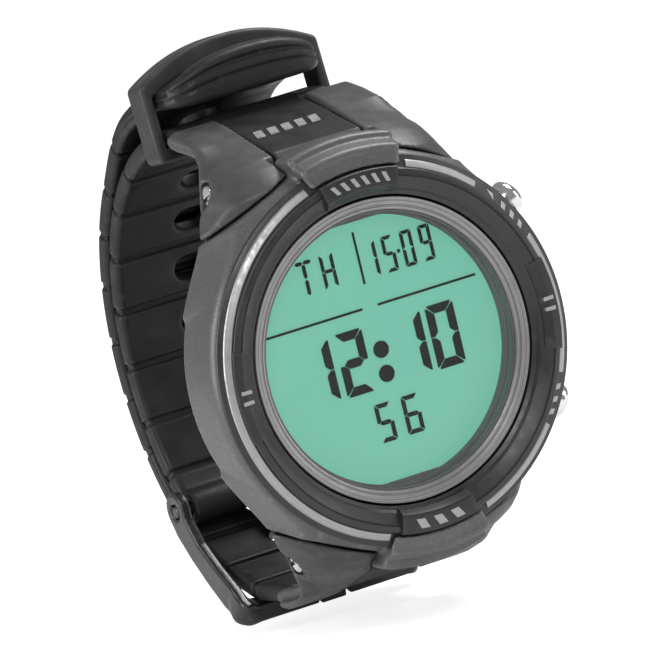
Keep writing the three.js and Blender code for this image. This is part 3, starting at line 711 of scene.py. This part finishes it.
def plaque(name, node, middle, marks):
    """A raised block across the bezel with a sloping inner face, and its bright marks on top."""
    half = 14
    profile = [
        (18.05, 13.2), (21.0, 13.2), (21.02, 14.75), (20.9, 14.98), (18.95, 15.0), (18.75, 14.92),
        (18.1, 14.05),
    ]
    block = lathe(name, profile, (middle - half, middle + half), bevel=0.1, radius=0.05)
    finished(block, "insert_black", "case", "bezel_black", node)
    printed = prisms(name + "_marks", marks, 14.97, 15.06, bevel=0.02)
    finished(printed, "silver_print", "case", "silver_trim")


def slanted_bars(middle, count, pitch, inner, outer, width=1.0, slant=1.2):
    """Plain slanted bars in a row round the ring, as outlines."""
    outlines = []
    for i in range(count):
        at = middle + (i - (count - 1) / 2) * pitch
        outlines.append(around([
            (inner, -width - slant), (inner, width - slant), (outer, width + slant),
            (outer, -width + slant),
        ], at))
    return outlines


def plaques():
    plaque("plaque_twelve", "plaque_12", 90, slanted_bars(90, 6, 3.8, 19.35, 20.45, 0.8, 0.8))
    plaque("plaque_six", "plaque_6", 270, slanted_bars(270, 3, 6.6, 19.35, 20.45, 1.6, 0.8))


def tick_inserts():
    """Inserts across the brow at 3 and 9 o'clock, each with two bright bars and a fine pale rim, painted as
    a highlight by its material's edge tint.
    """
    for name, node, middle in (("insert_three", "tick_insert_3", 0), ("insert_nine", "tick_insert_9", 180)):
        profile = [
            (18.9, 13.6), (20.95, 14.3), (20.93, 14.62), (20.85, 14.66), (19.95, 14.79), (19.85, 14.77),
            (18.95, 14.22), (18.88, 14.1),
        ]
        insert = lathe(name, profile, (middle - 15, middle + 15), bevel=0.08, radius=0.04)
        finished(insert, "insert_black", "case", "bezel_black", node)
        bars = [
            around([(19.2, -0.62), (20.5, -0.62), (20.5, 0.62), (19.2, 0.62)], middle + side * 1.75)
            for side in (-1, 1)
        ]
        marks = prisms(name + "_bars", bars, 14.3, 14.86, bevel=0.03)
        finished(marks, "silver_print", "case", "silver_trim")


def inlays():
    """Bright arcs let into the bezel's outer slope."""
    spans = {
        "inlay_left": (107.5, 253), "inlay_upper_right": (47, 72), "inlay_right": (-22.5, 22.5),
        "inlay_lower_right": (-72, -39),
    }
    profile = [(20.84, 13.7), (21.62, 13.3), (21.74, 13.55), (21.62, 13.78), (21.0, 14.12), (20.84, 14.12)]
    for node, span in spans.items():
        arc = lathe(node + "_arc", profile, span, bevel=0.06, radius=0.06)
        finished(arc, "silver_trim", "case", "silver_trim", node)


def button_marks():
    """Generic bright marks on the outer slope beside the buttons: a pointer and short bars."""
    inner, outer = 20.95, 21.65
    bars = [bar for middle in (31, -31) for bar in slanted_bars(middle, 3, 4.0, inner, outer, 0.9, 0.4)]
    pointer = around([(inner, -2.3), (outer, -1.0), (outer, 1.6)], 41)
    printed = prisms("button_marks", bars + [pointer], 0, 0.08)
    for vertex in printed.data.vertices:  # follow the slope of the bezel
        r = math.hypot(vertex.co.x, vertex.co.z) / MM
        vertex.co.y -= (13.88 - (r - 20.8) * 0.42) * MM
    finished(printed, "silver_print", "case", "silver_trim")


# Display

def display_ring():
    profile = [
        (15.98, 11.15), (17.45, 11.15), (17.5, 13.05), (17.42, 13.2), (17.15, 13.13), (17.1, 13.05),
        (17.03, 13.05), (16.98, 13.08), (16.55, 12.88), (16.5, 12.72), (16.38, 12.68), (16.32, 12.78),
        (16.02, 12.62), (15.98, 12.5),
    ]
    piece = lathe("display_ring_turned", profile, radius=0.03, segments=320)
    finished(piece, "ring_grey", "case", "ring_grey", "display_ring")


def lens():
    low = case_box("lens")[0].z
    profile = [
        (0, low), (15.5, low), (15.7, low + 0.2), (15.7, LENS_FRONT - 0.25), (15.45, LENS_FRONT),
        (0, LENS_FRONT),
    ]
    piece = lathe("lens_disc", profile, segments=200)
    finished(piece, "lens_glass", "case", "lens_glass", "lens")


def window(radius, flat, steps=60):
    """The display window: a circle with a flat at 12 and at 6 o'clock, as [x, y] corners."""
    side = math.asin(flat / radius)
    right = [-side + 2 * side * i / steps for i in range(steps + 1)]
    return [(radius * math.cos(a), radius * math.sin(a)) for a in right + [a + math.pi for a in right]]


def display_mask():
    """The printed mask under the lens, with the window cut out of it."""
    back, front = 9.95, 10.25
    piece = skin("display_mask_print", [
        [(*inner, back), (*outer, back), (*outer, front), (*inner, front)]
        for inner, outer in zip(window(15.5, 15), window(17.3, 17.2))
    ])
    finished(piece, "mask_grey", "case", "mask_grey", "display_mask")
    sleeve = [  # the border that shows round and under the lens
        (15.42, 10.3), (15.55, 10.3), (15.55, 10.95), (15.93, 10.98), (15.93, 12.42), (15.77, 12.42),
        (15.77, 11.1), (15.42, 11.08),
    ]
    border = lathe("display_mask_border", sleeve, radius=0.02)
    finished(border, "mask_grey", "case", "mask_grey")


SEGMENTS = {
    "0": "abcdef", "1": "bc", "2": "abged", "5": "afgcd", "6": "afgecd", "9": "abcdfg", "H": "bcefg",
}


def segment_bar(start, end, stroke):
    """One bar between two places, with pointed ends."""
    (x0, y0), (x1, y1) = start, end
    length = math.hypot(x1 - x0, y1 - y0)
    ux, uy = (x1 - x0) / length, (y1 - y0) / length
    half, gap = stroke / 2, 0.04
    ends = [(gap, 0), (gap + half, half), (length - gap - half, half), (length - gap, 0),
            (length - gap - half, -half), (gap + half, -half)]
    return [(x0 + ux * s - uy * t, y0 + uy * s + ux * t) for s, t in ends]


def digit(text, x, y, width, height, stroke):
    """The lit bars of one digit whose outer box starts at x, y: mitred, with hairline gaps."""
    gap, half, chamfer = 0.045, stroke / 2, stroke * 0.22
    right, top, middle = x + width, y + height, y + height / 2

    def corner_bar(outer, inner, run, rise):
        """An upright from the middle to a corner, outer edge at outer, inner edge at inner."""
        end = middle + rise * height / 2
        return [
            (outer, middle + rise * gap),
            (outer, end - rise * (gap + chamfer)),
            (outer + run * chamfer, end - rise * (gap + chamfer * 1.2)),
            (inner, end - rise * (stroke + gap)),
            (inner, middle + rise * (half + gap)),
            (outer + run * half, middle + rise * gap),
        ]

    def cap(level, rise):
        """The top or bottom bar, on the given outer level."""
        insets = [(gap + chamfer, 0), (gap + chamfer * 1.2, chamfer), (gap + stroke, stroke)]
        left_side = [(x + inset, level + rise * depth) for inset, depth in insets]
        right_side = [(right - inset, level + rise * depth) for inset, depth in insets]
        return left_side[:1] + right_side + left_side[:0:-1]

    bars = {
        "a": cap(top, -1), "d": cap(y, 1),
        "b": corner_bar(right, right - stroke, -1, 1), "c": corner_bar(right, right - stroke, -1, -1),
        "f": corner_bar(x, x + stroke, 1, 1), "e": corner_bar(x, x + stroke, 1, -1),
        "g": segment_bar((x + half, middle), (right - half, middle), stroke),
    }
    return [bars[s] for s in SEGMENTS[text]]


def rectangle(x0, y0, x1, y1):
    return [(x0, y0), (x1, y0), (x1, y1), (x0, y1)]


def round_dot(x, y, radius):
    angles = np.linspace(0, 2 * math.pi, 25)[:-1]
    return [(x + radius * math.cos(a), y + radius * math.sin(a)) for a in angles]


def display_content():
    """Dividers, weekday, date, time and seconds, as [x, y] outlines."""
    lines = [
        rectangle(-13.9, 4.86, -1, 5.14), rectangle(1, 4.86, 13.9, 5.14), rectangle(-0.14, 7.7, 0.14, 13.8),
    ]
    tee = [
        segment_bar((-8.1, 12.1), (-7, 12.1), 0.45), segment_bar((-7.05, 12.1), (-5.9, 12.1), 0.45),
        segment_bar((-7, 12), (-7, 10.2), 0.45), segment_bar((-7, 10.2), (-7, 8.3), 0.45),
    ]
    weekday = tee + digit("H", -4.9, 8.3, 1.75, 4.1, 0.42)
    date = (
        digit("1", 0.95, 8.1, 1.4, 4.2, 0.42) + digit("5", 3.2, 8.1, 1.5, 4.2, 0.42)
        + [rectangle(4.95, 10.0, 5.3, 10.4)]
        + digit("0", 5.65, 8.1, 1.5, 4.2, 0.42) + digit("9", 8.05, 8.1, 1.5, 4.2, 0.42)
    )
    time = (
        digit("1", -9.1, -4.35, 2.9, 7.45, 1.05) + digit("2", -5.4, -4.35, 3.65, 7.45, 1.05)
        + [round_dot(0.1, -0.05, 1.0), round_dot(0.1, -2.9, 1.0)]
        + digit("1", 3.0, -4.35, 2.9, 7.45, 1.05) + digit("0", 6.6, -4.35, 3.65, 7.45, 1.05)
    )
    seconds = digit("5", -2.5, -10.5, 2.1, 4.5, 0.52) + digit("6", 1.0, -10.5, 2.2, 4.5, 0.52)
    return lines + weekday + date + time + seconds


def display():
    panel = prisms("display_panel", [window(16.3, 15.6)], case_box("lcd_panel")[0].z, LCD_FACE)
    finished(panel, "display_green", "case", "display_green", "lcd_panel")
    bars = prisms("display_segments", display_content(), LCD_FACE + 0.16, LCD_FACE + 0.22)
    finished(bars, "display_black", "case", "display_green")


# Buttons

def button_place(side):
    """Turns local +z to point out along a button's axis, at the buttons' height."""
    turn = Matrix.Rotation(math.radians(side * BUTTON_ANGLE), 4, "Z") @ Matrix.Rotation(math.pi / 2, 4, "Y")
    return Matrix.Translation((0, 0, BUTTON_Z)) @ turn


def buttons():
    cap = [  # with a groove under its head that the spring goes into
        (0, 17.6), (0.8, 17.6), (0.8, 22.5), (1.02, 22.5), (1.02, 23.6), (1.62, 23.6), (1.62, 22.5),
        (2.0, 22.5), (2.1, 22.65), (2.1, 23.3), (2.0, 23.36), (2.0, 23.5), (2.1, 23.56), (2.1, 24.5),
        (1.95, 24.85), (1.6, 25.15), (1.1, 25.4), (0.55, 25.55), (0, 25.6),
    ]
    bush = [
        (1.1, 19.1), (2.2, 19.1), (2.2, 21), (2.75, 21), (2.75, 22.85), (2.62, 23.0), (2.45, 23),
        (2.35, 22.85), (2.35, 21.3), (1.75, 21.3), (1.75, 20.6), (1.1, 20.6), (1.1, 20.3), (1.8, 20.3),
        (1.8, 19.4), (1.1, 19.4),
    ]
    for name, side in (("upper_button", 1), ("lower_button", -1)):
        place = button_place(side)
        dome = lathe(name + "_dome", cap, segments=96, place=place, radius=0.12)
        finished(dome, "chrome", name, "button_chrome", name + "_cap")
        sleeve = lathe(name + "_sleeve", bush, segments=96, place=place, radius=0.06)
        finished(sleeve, "brushed_steel", "case", "steel", name + "_bush")


# Strap

GROOVE_HALF, GROOVE_DEPTH = 0.42, 0.5
LOWER_STATIONS = [
    (176, LOOP_INNER), (184, LOOP_INNER), (198, 27.25), (224, 28.8), (312, 28.75), (338, 30.3),
    (366, 30.7),
]
TIP_ANGLE = 366
UPPER_END = -128.2  # where the upper strap meets the buckle's pin


def arc_length(angle, centre, reach):
    return np.radians(angle - centre) * reach


def nearest_of(angle, first, pitch, count):
    """The nearest of count places that start at first and step by pitch."""
    return first + pitch * np.clip(np.round((angle - first) / pitch), 0, count - 1)


def grooves(x, depth, angle, reach, first, pitch, count):
    """Cross grooves on the strap's inner face that run out over its rounded edges."""
    along = arc_length(angle, nearest_of(angle, first, pitch, count), reach)
    skin = np.minimum(depth + STRAP_THICK / 2 - GROOVE_DEPTH, STRAP_HALF - 0.38 - abs(x))
    return both(abs(along) - GROOVE_HALF, skin)


def slots(x, angle, reach, first, pitch, count, half=0.85, end=1.55):
    """Slots through the strap, as round-ended bars across it."""
    along = arc_length(angle, nearest_of(angle, first, pitch, count), reach)
    return np.hypot(np.maximum(abs(x) - half, 0), along) - end


def root_outline(mirror=1):
    """Side view of the strap's root round its pin, between two horns."""
    points = [
        (26.3, -9.8), (25.2, -4), (23.8, -0.4), (20.8, 1.6), (19.9, 2.4), (19.6, 3.4), (19.9, 4.4),
        (20.8, 5.1), (22.6, 6.3), (23.9, 6.9), (24.7, 6.2), (25.4, 3.6), (26.2, 0.6), (27.2, -3),
        (28, -6.4), (28.4, -9.8),
    ]
    return [(mirror * y, z) for y, z in points]


def root_field(x, y, z, mirror=1):
    body = meet(polygon(y, z, root_outline(mirror)), abs(x) - TAB_HALF, 0.2)
    return both(body, PIN_RADIUS + GAP - np.hypot(y - mirror * PIN_Y, z - PIN_Z))


def upper_strap_field(x, y, z):
    reach, angle = loop_places(y, z)
    depth = reach - LOOP_INNER - STRAP_THICK / 2
    ends = np.radians(slab(angle, UPPER_END, 4)) * LOOP_INNER
    band = meet(meet(abs(x) - STRAP_HALF, ends, 1.0), abs(depth) - STRAP_THICK / 2, 0.75)
    from_pin = np.hypot(y - BUCKLE_PIN[0], z - BUCKLE_PIN[1])
    eye = meet(from_pin - 1.95, abs(x) - STRAP_HALF, 0.4)
    body = join(join(band, eye, 0.8), root_field(x, y, z), 0.8)
    pitch, count = 14.6, 7
    first = -33.5 - pitch * (count - 1)
    body = carve(body, grooves(x, depth, angle, LOOP_INNER, first, pitch, count), 0.16)
    body = carve(body, slots(x, angle, LOOP_INNER, first + 7, pitch, count), 0.35)
    notch = both(from_pin - 4, abs(x) - 2.2)
    return both(carve(body, notch, 0.25), PIN_RADIUS + GAP - from_pin)


def lower_strap_field(x, y, z):
    reach, angle = loop_places(y, z)
    angle = np.where(angle < 90, angle + 360, angle)
    inner = eased(LOWER_STATIONS, angle)
    depth = reach - inner - STRAP_THICK / 2
    tip = arc_length(angle, TIP_ANGLE, 30.7)
    plan = meet(meet(abs(x) - STRAP_HALF, tip + x * x * 0.007, 3.2), arc_length(176, angle, LOOP_INNER), 1.0)
    near_tip = np.clip((angle - 326) / 15, 0, 1)
    across = x / STRAP_HALF
    crown = 1.85 * near_tip * np.maximum(1 - across ** 2, 0)  # the tip swells to fill the keeper
    crown = crown + 1.3 * np.clip((angle - 358.6) / 4, 0, 1) * np.maximum(1 - across ** 4, 0)
    band = meet(plan, both(depth - STRAP_THICK / 2 - crown, -depth - STRAP_THICK / 2), 0.75)
    height = (depth + STRAP_THICK / 2) / (STRAP_THICK + crown)
    lines = 0.36 * np.exp(-((height - 0.74) / 0.06) ** 2) + 0.26 * np.exp(-((height - 0.45) / 0.05) ** 2)
    body = band + np.where(plan > -1.2, lines * near_tip, 0)  # two lines round the tip's rim
    body = join(body, root_field(x, y, z, -1), 0.8)
    pitch = 13.2
    body = carve(body, grooves(x, depth, angle, inner + 0.6, 195.1, pitch, 11), 0.16)
    return carve(body, slots(x, angle, inner + 1.1, 214.5, pitch, 10, 0.5, 1.9), 0.35)


def straps():
    upper = surface("upper_strap_rubber", upper_strap_field, (-10.4, -20.5, -38.6), (10.4, 28.8, 7.2), 0.28)
    finished(upper, "strap_rubber", "case", "strap_rubber", "upper_strap")
    lower = surface("lower_strap_rubber", lower_strap_field, (-10.4, -31.4, -41.2), (10.4, 36.4, 7.2), 0.28)
    finished(lower, "strap_rubber", "case", "strap_rubber", "lower_strap")
    bars = [
        [(x0, 0), (x0 + 1.1, 0), (x0 + 1.6, 2.1), (x0 + 0.5, 2.1)]
        for x0 in (-4.9, -3.1, -1.3, 0.5, 2.3)
    ]
    tilt = math.atan2(7.2, 1.9)  # slope of the root's outer face in side view
    turn = Matrix.Rotation(-tilt, 4, "X")
    lie = Matrix.Translation((0, 26.35, 0.5)) @ turn @ Matrix.Translation((0, -1.05, 0))
    printed = prisms("strap_marks", bars, -0.1, 0.05, lie)
    finished(printed, "silver_print", "case", "silver_trim")


# Keeper

def keeper_place():
    """Local x, reach and the way along the strap to the case's axes."""
    return Matrix.Translation((0, 0, LOOP_Z)) @ Matrix.Rotation(math.radians(KEEPER_ANGLE), 4, "X")


def arch(half, foot, shoulder, crown, steps=28):
    """A box outline with an arched top, as [x, reach] corners."""
    top = [
        (half * (1 - 2 * i / steps), shoulder + (crown - shoulder) * (1 - abs(1 - 2 * i / steps) ** 2.1))
        for i in range(steps + 1)
    ]
    return [(-half, foot), (half, foot)] + top


def keeper_field(x, reach, along):
    half = KEEPER_HALF
    body = polygon(x, reach, arch(half - 0.9, 25.5, 33.3, 36.3)) - 0.9
    hollow = polygon(x, reach, arch(half - 1.9, 26.5, 32.0, 33.9)) - 0.6
    loop = meet(body, abs(along) - KEEPER_DEPTH / 2, 0.6)
    seam = both(abs(reach - 32.6) - 0.05, half - 0.12 - abs(x))
    return carve(carve(loop, hollow, 0.35), seam, 0.04)


def keeper():
    half = KEEPER_HALF
    low, high = (-half, 24.4, -KEEPER_DEPTH / 2), (half, 37.4, KEEPER_DEPTH / 2)
    piece = surface("strap_keeper_loop", keeper_field, low, high, 0.2, keeper_place())
    finished(piece, "keeper_rubber", "keeper", "strap_rubber", "strap_keeper")


# Buckle

def arm_outline():
    """Side view of a buckle arm: a round ear on the pin, then a plate that narrows to the bar."""
    y, z = BUCKLE_PIN
    ear = [(y + 2.1 * math.cos(a), z + 2.1 * math.sin(a)) for a in np.radians(range(60, -121, -15))]
    return ear + [
        (-20.6, -30.3), (-23.4, -27.9), (-26.2, -25), (-28.7, -22), (-30.2, -19.4), (-30.6, -18.3),
        (-30.1, -17.3), (-28.7, -17), (-26.6, -19.2), (-24.2, -22.5), (-21.6, -25.4), (-18.5, -27.5),
    ]


def buckle_field(x, y, z):
    ax = abs(x)
    plate = polygon(y, z, arm_outline()) - 0.2
    arms = meet(plate, slab(ax, STRAP_HALF + 0.6, BUCKLE_HALF), 0.42)
    bar_outline = [on_loop(*p) for p in ((30.1, 198.4), (31.6, 198.4), (31.7, 194.6), (30.2, 194.6))]
    bar = meet(polygon(y, z, bar_outline) - 0.3, ax - BUCKLE_HALF, 0.3)
    body = join(arms, bar, 1.3)
    reach = loop_places(y, z)[0]
    body = carve(body, both(ax - 2.1, 31.0 - reach), 0.15)  # where the tongue lies
    py, pz = BUCKLE_PIN
    by, bz = on_loop(30.95, 196.3)
    length = math.hypot(by - py, bz - pz)
    along = ((y - py) * (by - py) + (z - pz) * (bz - pz)) / length
    body = meet(body, meet(ax - BUCKLE_HALF, along - length - 1.7, 2.4), 0.3)
    from_pin = np.hypot(y - py, z - pz)
    return carve(body, both(from_pin - PIN_RADIUS - GAP, 0), 0.15)


def tongue_outline():
    """Side view of the tongue: a strip that leaves the pin and lies across the bar."""
    route = [
        (26.4, 228), (26.2, 222), (27.2, 217), (30.3, 212.2), (31.5, 206.5), (31.7, 200), (31.7, 194.8),
    ]
    points = [Vector(on_loop(*p)) for p in route]
    smooth = []
    for a, b, c, d in zip([points[0]] + points, points, points[1:], points[2:] + [points[-1]]):
        for t in (0, 0.25, 0.5, 0.75):
            smooth.append(0.5 * (2 * b + (c - a) * t + (2 * a - 5 * b + 4 * c - d) * t ** 2
                                 + (3 * b - a - 3 * c + d) * t ** 3))
    smooth.append(points[-1])
    left, right = [], []
    for before, at, after in zip(smooth[:1] + smooth, smooth, smooth[1:] + smooth[-1:]):
        way = (after - before).normalized() * 0.4
        left.append((at.x - way.y, at.y + way.x))
        right.append((at.x + way.y, at.y - way.x))
    return left + right[::-1]


def tongue_field(x, y, z):
    ax, from_pin = abs(x), np.hypot(y - BUCKLE_PIN[0], z - BUCKLE_PIN[1])
    blade = meet(polygon(y, z, tongue_outline()) - 0.12, ax - 1.7, 0.3)
    eye = meet(from_pin - 1.65, ax - 1.7, 0.3)
    return carve(join(blade, eye, 0.5), both(from_pin - PIN_RADIUS - GAP, 0), 0.1)


def buckle():
    frame_piece = surface("buckle_frame_loop", buckle_field, (-12.4, -31.4, -32), (12.4, -15, -15.6), 0.2)
    finished(frame_piece, "buckle_black", "buckle", "buckle_plastic", "buckle_frame")
    tongue = surface("buckle_tongue_strip", tongue_field, (-1.8, -32.6, -31.4), (1.8, -15.6, -15.4), 0.14)
    finished(tongue, "buckle_black", "tongue", "buckle_plastic", "buckle_tongue")
    pin = [(0, -12.1), (0.6, -12.1), (0.75, -11.95), (0.75, 11.95), (0.6, 12.1), (0, 12.1)]
    place = Matrix.Translation((0, *BUCKLE_PIN)) @ Matrix.Rotation(math.pi / 2, 4, "Y")
    rod = lathe("buckle_pin_rod", pin, segments=48, place=place, radius=0.1)
    finished(rod, "dark_steel", "case", "steel", "buckle_pin")


# Pins, screws and case back

def headed_pin_field(start, end):
    """A pin along x from start to its head at end, with a screwdriver slot."""
    def field(x, y, z):
        from_axis, sign = np.hypot(y, z), 1 if end > start else -1
        shank = both(from_axis - PIN_RADIUS, slab(x, min(start, end), max(start, end)))
        head = meet(from_axis - 1.4, slab(x * sign, *PIN_HEAD), 0.16)
        slot = both(abs(z) - 0.2, PIN_HEAD[1] - 0.3 - x * sign)
        return carve(join(shank, head, 0.1), slot, 0.05)
    return field


def strap_pins():
    for name, y in (("upper_strap_pin", PIN_Y), ("lower_strap_pin", -PIN_Y)):
        for node, start, end, turn in ((name, 8, -13.5, 70), (name + "_screw", 8.3, 13.5, 35)):
            low, high = (min(start, end - 0.6), -1.5, -1.5), (max(start, end + 0.6), 1.5, 1.5)
            place = Matrix.Translation((0, y, PIN_Z)) @ Matrix.Rotation(math.radians(turn), 4, "X")
            piece = surface(node + "_turned", headed_pin_field(start, end), low, high, 0.11, place)
            finished(piece, "polished_steel", "case", "steel", node)


def case_back_field(x, y, z):
    r = np.hypot(x, y)
    plate = [
        (0, 0), (18.2, 0), (18.95, 0.65), (19, 1.6), (14.3, 1.6), (14.3, 2.6), (0, 2.6),
    ]
    body = polygon(r, z, plate)
    rings = both(np.minimum(abs(r - 13.6) - 0.12, abs(r - 17.4) - 0.1), z - 0.16)
    dish = both(slab(r, 6.4, 11.2), z - 0.12)
    body = carve(carve(body, rings, 0.05), dish, 0.05)
    from_screw = np.hypot(abs(x) - SCREW_REACH, abs(y) - SCREW_REACH)
    screw_holes = np.minimum(both(from_screw - 1, z - 2), both(from_screw - 1.8, z - 0.9))
    from_port = np.hypot(x, y + 8.6)
    grille = np.hypot((x + 0.7) % 1.4 - 0.7, (y + 8.6 + 0.7) % 1.4 - 0.7) - 0.4
    port = np.minimum(both(from_port - 2.2, 0.9 - z), both(grille, from_port - 1.7, z - 1))
    return carve(carve(body, screw_holes, 0.1), port, 0.08)


def screw_field(x, y, z):
    r = np.hypot(x, y)
    body = join(meet(r - 1.4, slab(z, 0.1, 0.62), 0.12), both(r - 0.7, slab(z, 0.4, 3)), 0.05)
    cross = np.minimum(both(abs(x) - 0.17, abs(y) - 0.9), both(abs(y) - 0.17, abs(x) - 0.9))
    return carve(body, both(cross, z - 0.38), 0.04)


def case_back():
    # the grids start a little low, so that none of their planes lies in a flat face
    piece = surface("case_back_plate", case_back_field, (-19, -19, -0.07), (19, 19, 2.6), 0.2)
    finished(piece, "back_steel", "case", "steel", "case_back")
    for i, angle in enumerate((45, 135, 225, 315)):
        a = math.radians(angle)
        reach = SCREW_REACH * math.sqrt(2)
        place = Matrix.Translation((reach * math.cos(a), reach * math.sin(a), 0))
        place = place @ Matrix.Rotation(math.radians(17 + 31 * i), 4, "Z")
        node = f"case_back_screw_{i + 1}"
        screw = surface(node + "_cut", screw_field, (-1.5, -1.5, -0.03), (1.5, 1.5, 3.1), 0.1, place)
        finished(screw, "polished_steel", "case", "steel", node)


INNER_FINISH = {
    "lens_gasket": "seal_rubber", "backlight_plate": "inner_white", "module_frame": "inner_white",
    "circuit_board": "circuit_green", "battery_holder": "bezel_black", "coin_cell": "cell_steel",
    "pressure_sensor": "brushed_steel", "case_back_gasket": "seal_rubber",
    "upper_button_spring": "polished_steel", "lower_button_spring": "polished_steel",
    "upper_button_seal": "seal_rubber", "lower_button_seal": "seal_rubber",
    "upper_button_clip": "brushed_steel", "lower_button_clip": "brushed_steel",
}


def inner_parts():
    """The pieces inside the case keep their CAD shape and take a finished material."""
    for node, material in INNER_FINISH.items():
        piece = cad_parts[node]
        piece.data.materials.clear()
        piece.data.materials.append(MATERIALS[material])


# Studio

def area_light(name, place, size, power):
    """A lamp at a place in metres that faces the object."""
    light = bpy.data.lights.new(name, "AREA")
    light.shape = "RECTANGLE"
    light.size, light.size_y = size
    light.energy = power
    lamp = bpy.data.objects.new(name, light)
    lamp.location = place
    lamp.rotation_euler = (-Vector(place)).to_track_quat("-Z", "Y").to_euler()
    bpy.context.scene.collection.objects.link(lamp)


def is_seen(tree):
    """1 for what the camera sees, 0 for light that bounces."""
    return tree.nodes.new("ShaderNodeLightPath").outputs["Is Camera Ray"]


def studio(floor_height):
    """A wide pale floor, soft lamps and an even surround, both white to the camera but dimmer as light."""
    half = 2.2
    points = [(x, y, floor_height) for x, y in ((-half, -half), (half, -half), (half, half), (-half, half))]
    mesh = bpy.data.meshes.new("floor")
    mesh.from_pydata(points, [], [(0, 1, 2, 3)])
    sheet = bpy.data.objects.new("floor", mesh)
    bpy.context.scene.collection.objects.link(sheet)
    pale = Finish("pale_floor", (0.8, 0.8, 0.8), 0.85, Emission_Color=(1, 1, 1, 1), Emission_Strength=0.12)
    bright = pale.add("ShaderNodeBsdfPrincipled")
    for socket, value in (
        ("Base Color", (0.55, 0.55, 0.55, 1)), ("Roughness", 0.85),
        ("Emission Color", (1, 1, 1, 1)), ("Emission Strength", 0.8),
    ):
        pale.set(bright, socket, value)
    mixed(pale.tree, is_seen(pale.tree), pale.shader, bright)
    mesh.materials.append(pale.material)
    sheet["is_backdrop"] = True

    world = bpy.data.worlds.new("surround")
    world.use_nodes = True
    tree = world.node_tree
    seen, light = tree.nodes["Background"], tree.nodes.new("ShaderNodeBackground")
    for background, strength in ((seen, 1.0), (light, 0.3)):
        background.inputs["Color"].default_value = (1, 1, 1, 1)
        background.inputs["Strength"].default_value = strength
    mixed(tree, is_seen(tree), light, seen, "World Output")
    bpy.context.scene.world = world
    area_light("key", (-0.19, -0.44, 0.36), (0.2, 0.2), 1.15)
    area_light("left_edge", (-0.42, 0.10, 0.10), (0.12, 0.4), 1.3)
    area_light("right_fill", (0.40, -0.22, 0.10), (0.2, 0.3), 0.35)
    area_light("top", (0.24, 0.02, 0.38), (0.24, 0.24), 1.6)
    bpy.context.scene.view_settings.view_transform = "Standard"


def camera():
    """The photograph's angle: from the left, a little above, rolled anticlockwise, with a long lens."""
    to_camera = Vector((-0.4218, -0.8945, 0.1434)).normalized()
    right = Vector((0.8651, -0.4444, -0.2310))
    right = (right - to_camera * right.dot(to_camera)).normalized()
    up = to_camera.cross(right)
    target = TO_ROW @ RING_CENTRE + (right * -7.795 + up * 2.84) * MM
    distance, width, sensor = 1.2, 73.86 * MM, 36.0
    view = bpy.data.cameras.new("camera")
    view.sensor_width, view.lens = sensor, sensor * distance / width
    view.clip_start, view.clip_end = 0.05, 10
    holder = bpy.data.objects.new("camera", view)
    turn = Matrix((right, up, to_camera)).transposed().to_4x4()
    holder.matrix_world = Matrix.Translation(target + to_camera * distance) @ turn
    bpy.context.scene.collection.objects.link(holder)
    bpy.context.scene.camera = holder


materials()
camera()
case_body()
top_cover()
bezel()
plaques()
tick_inserts()
inlays()
button_marks()
display_ring()
lens()
display_mask()
display()
buttons()
straps()
keeper()
buckle()
strap_pins()
case_back()
inner_parts()
studio(min(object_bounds()[0].z, cad_low.z))
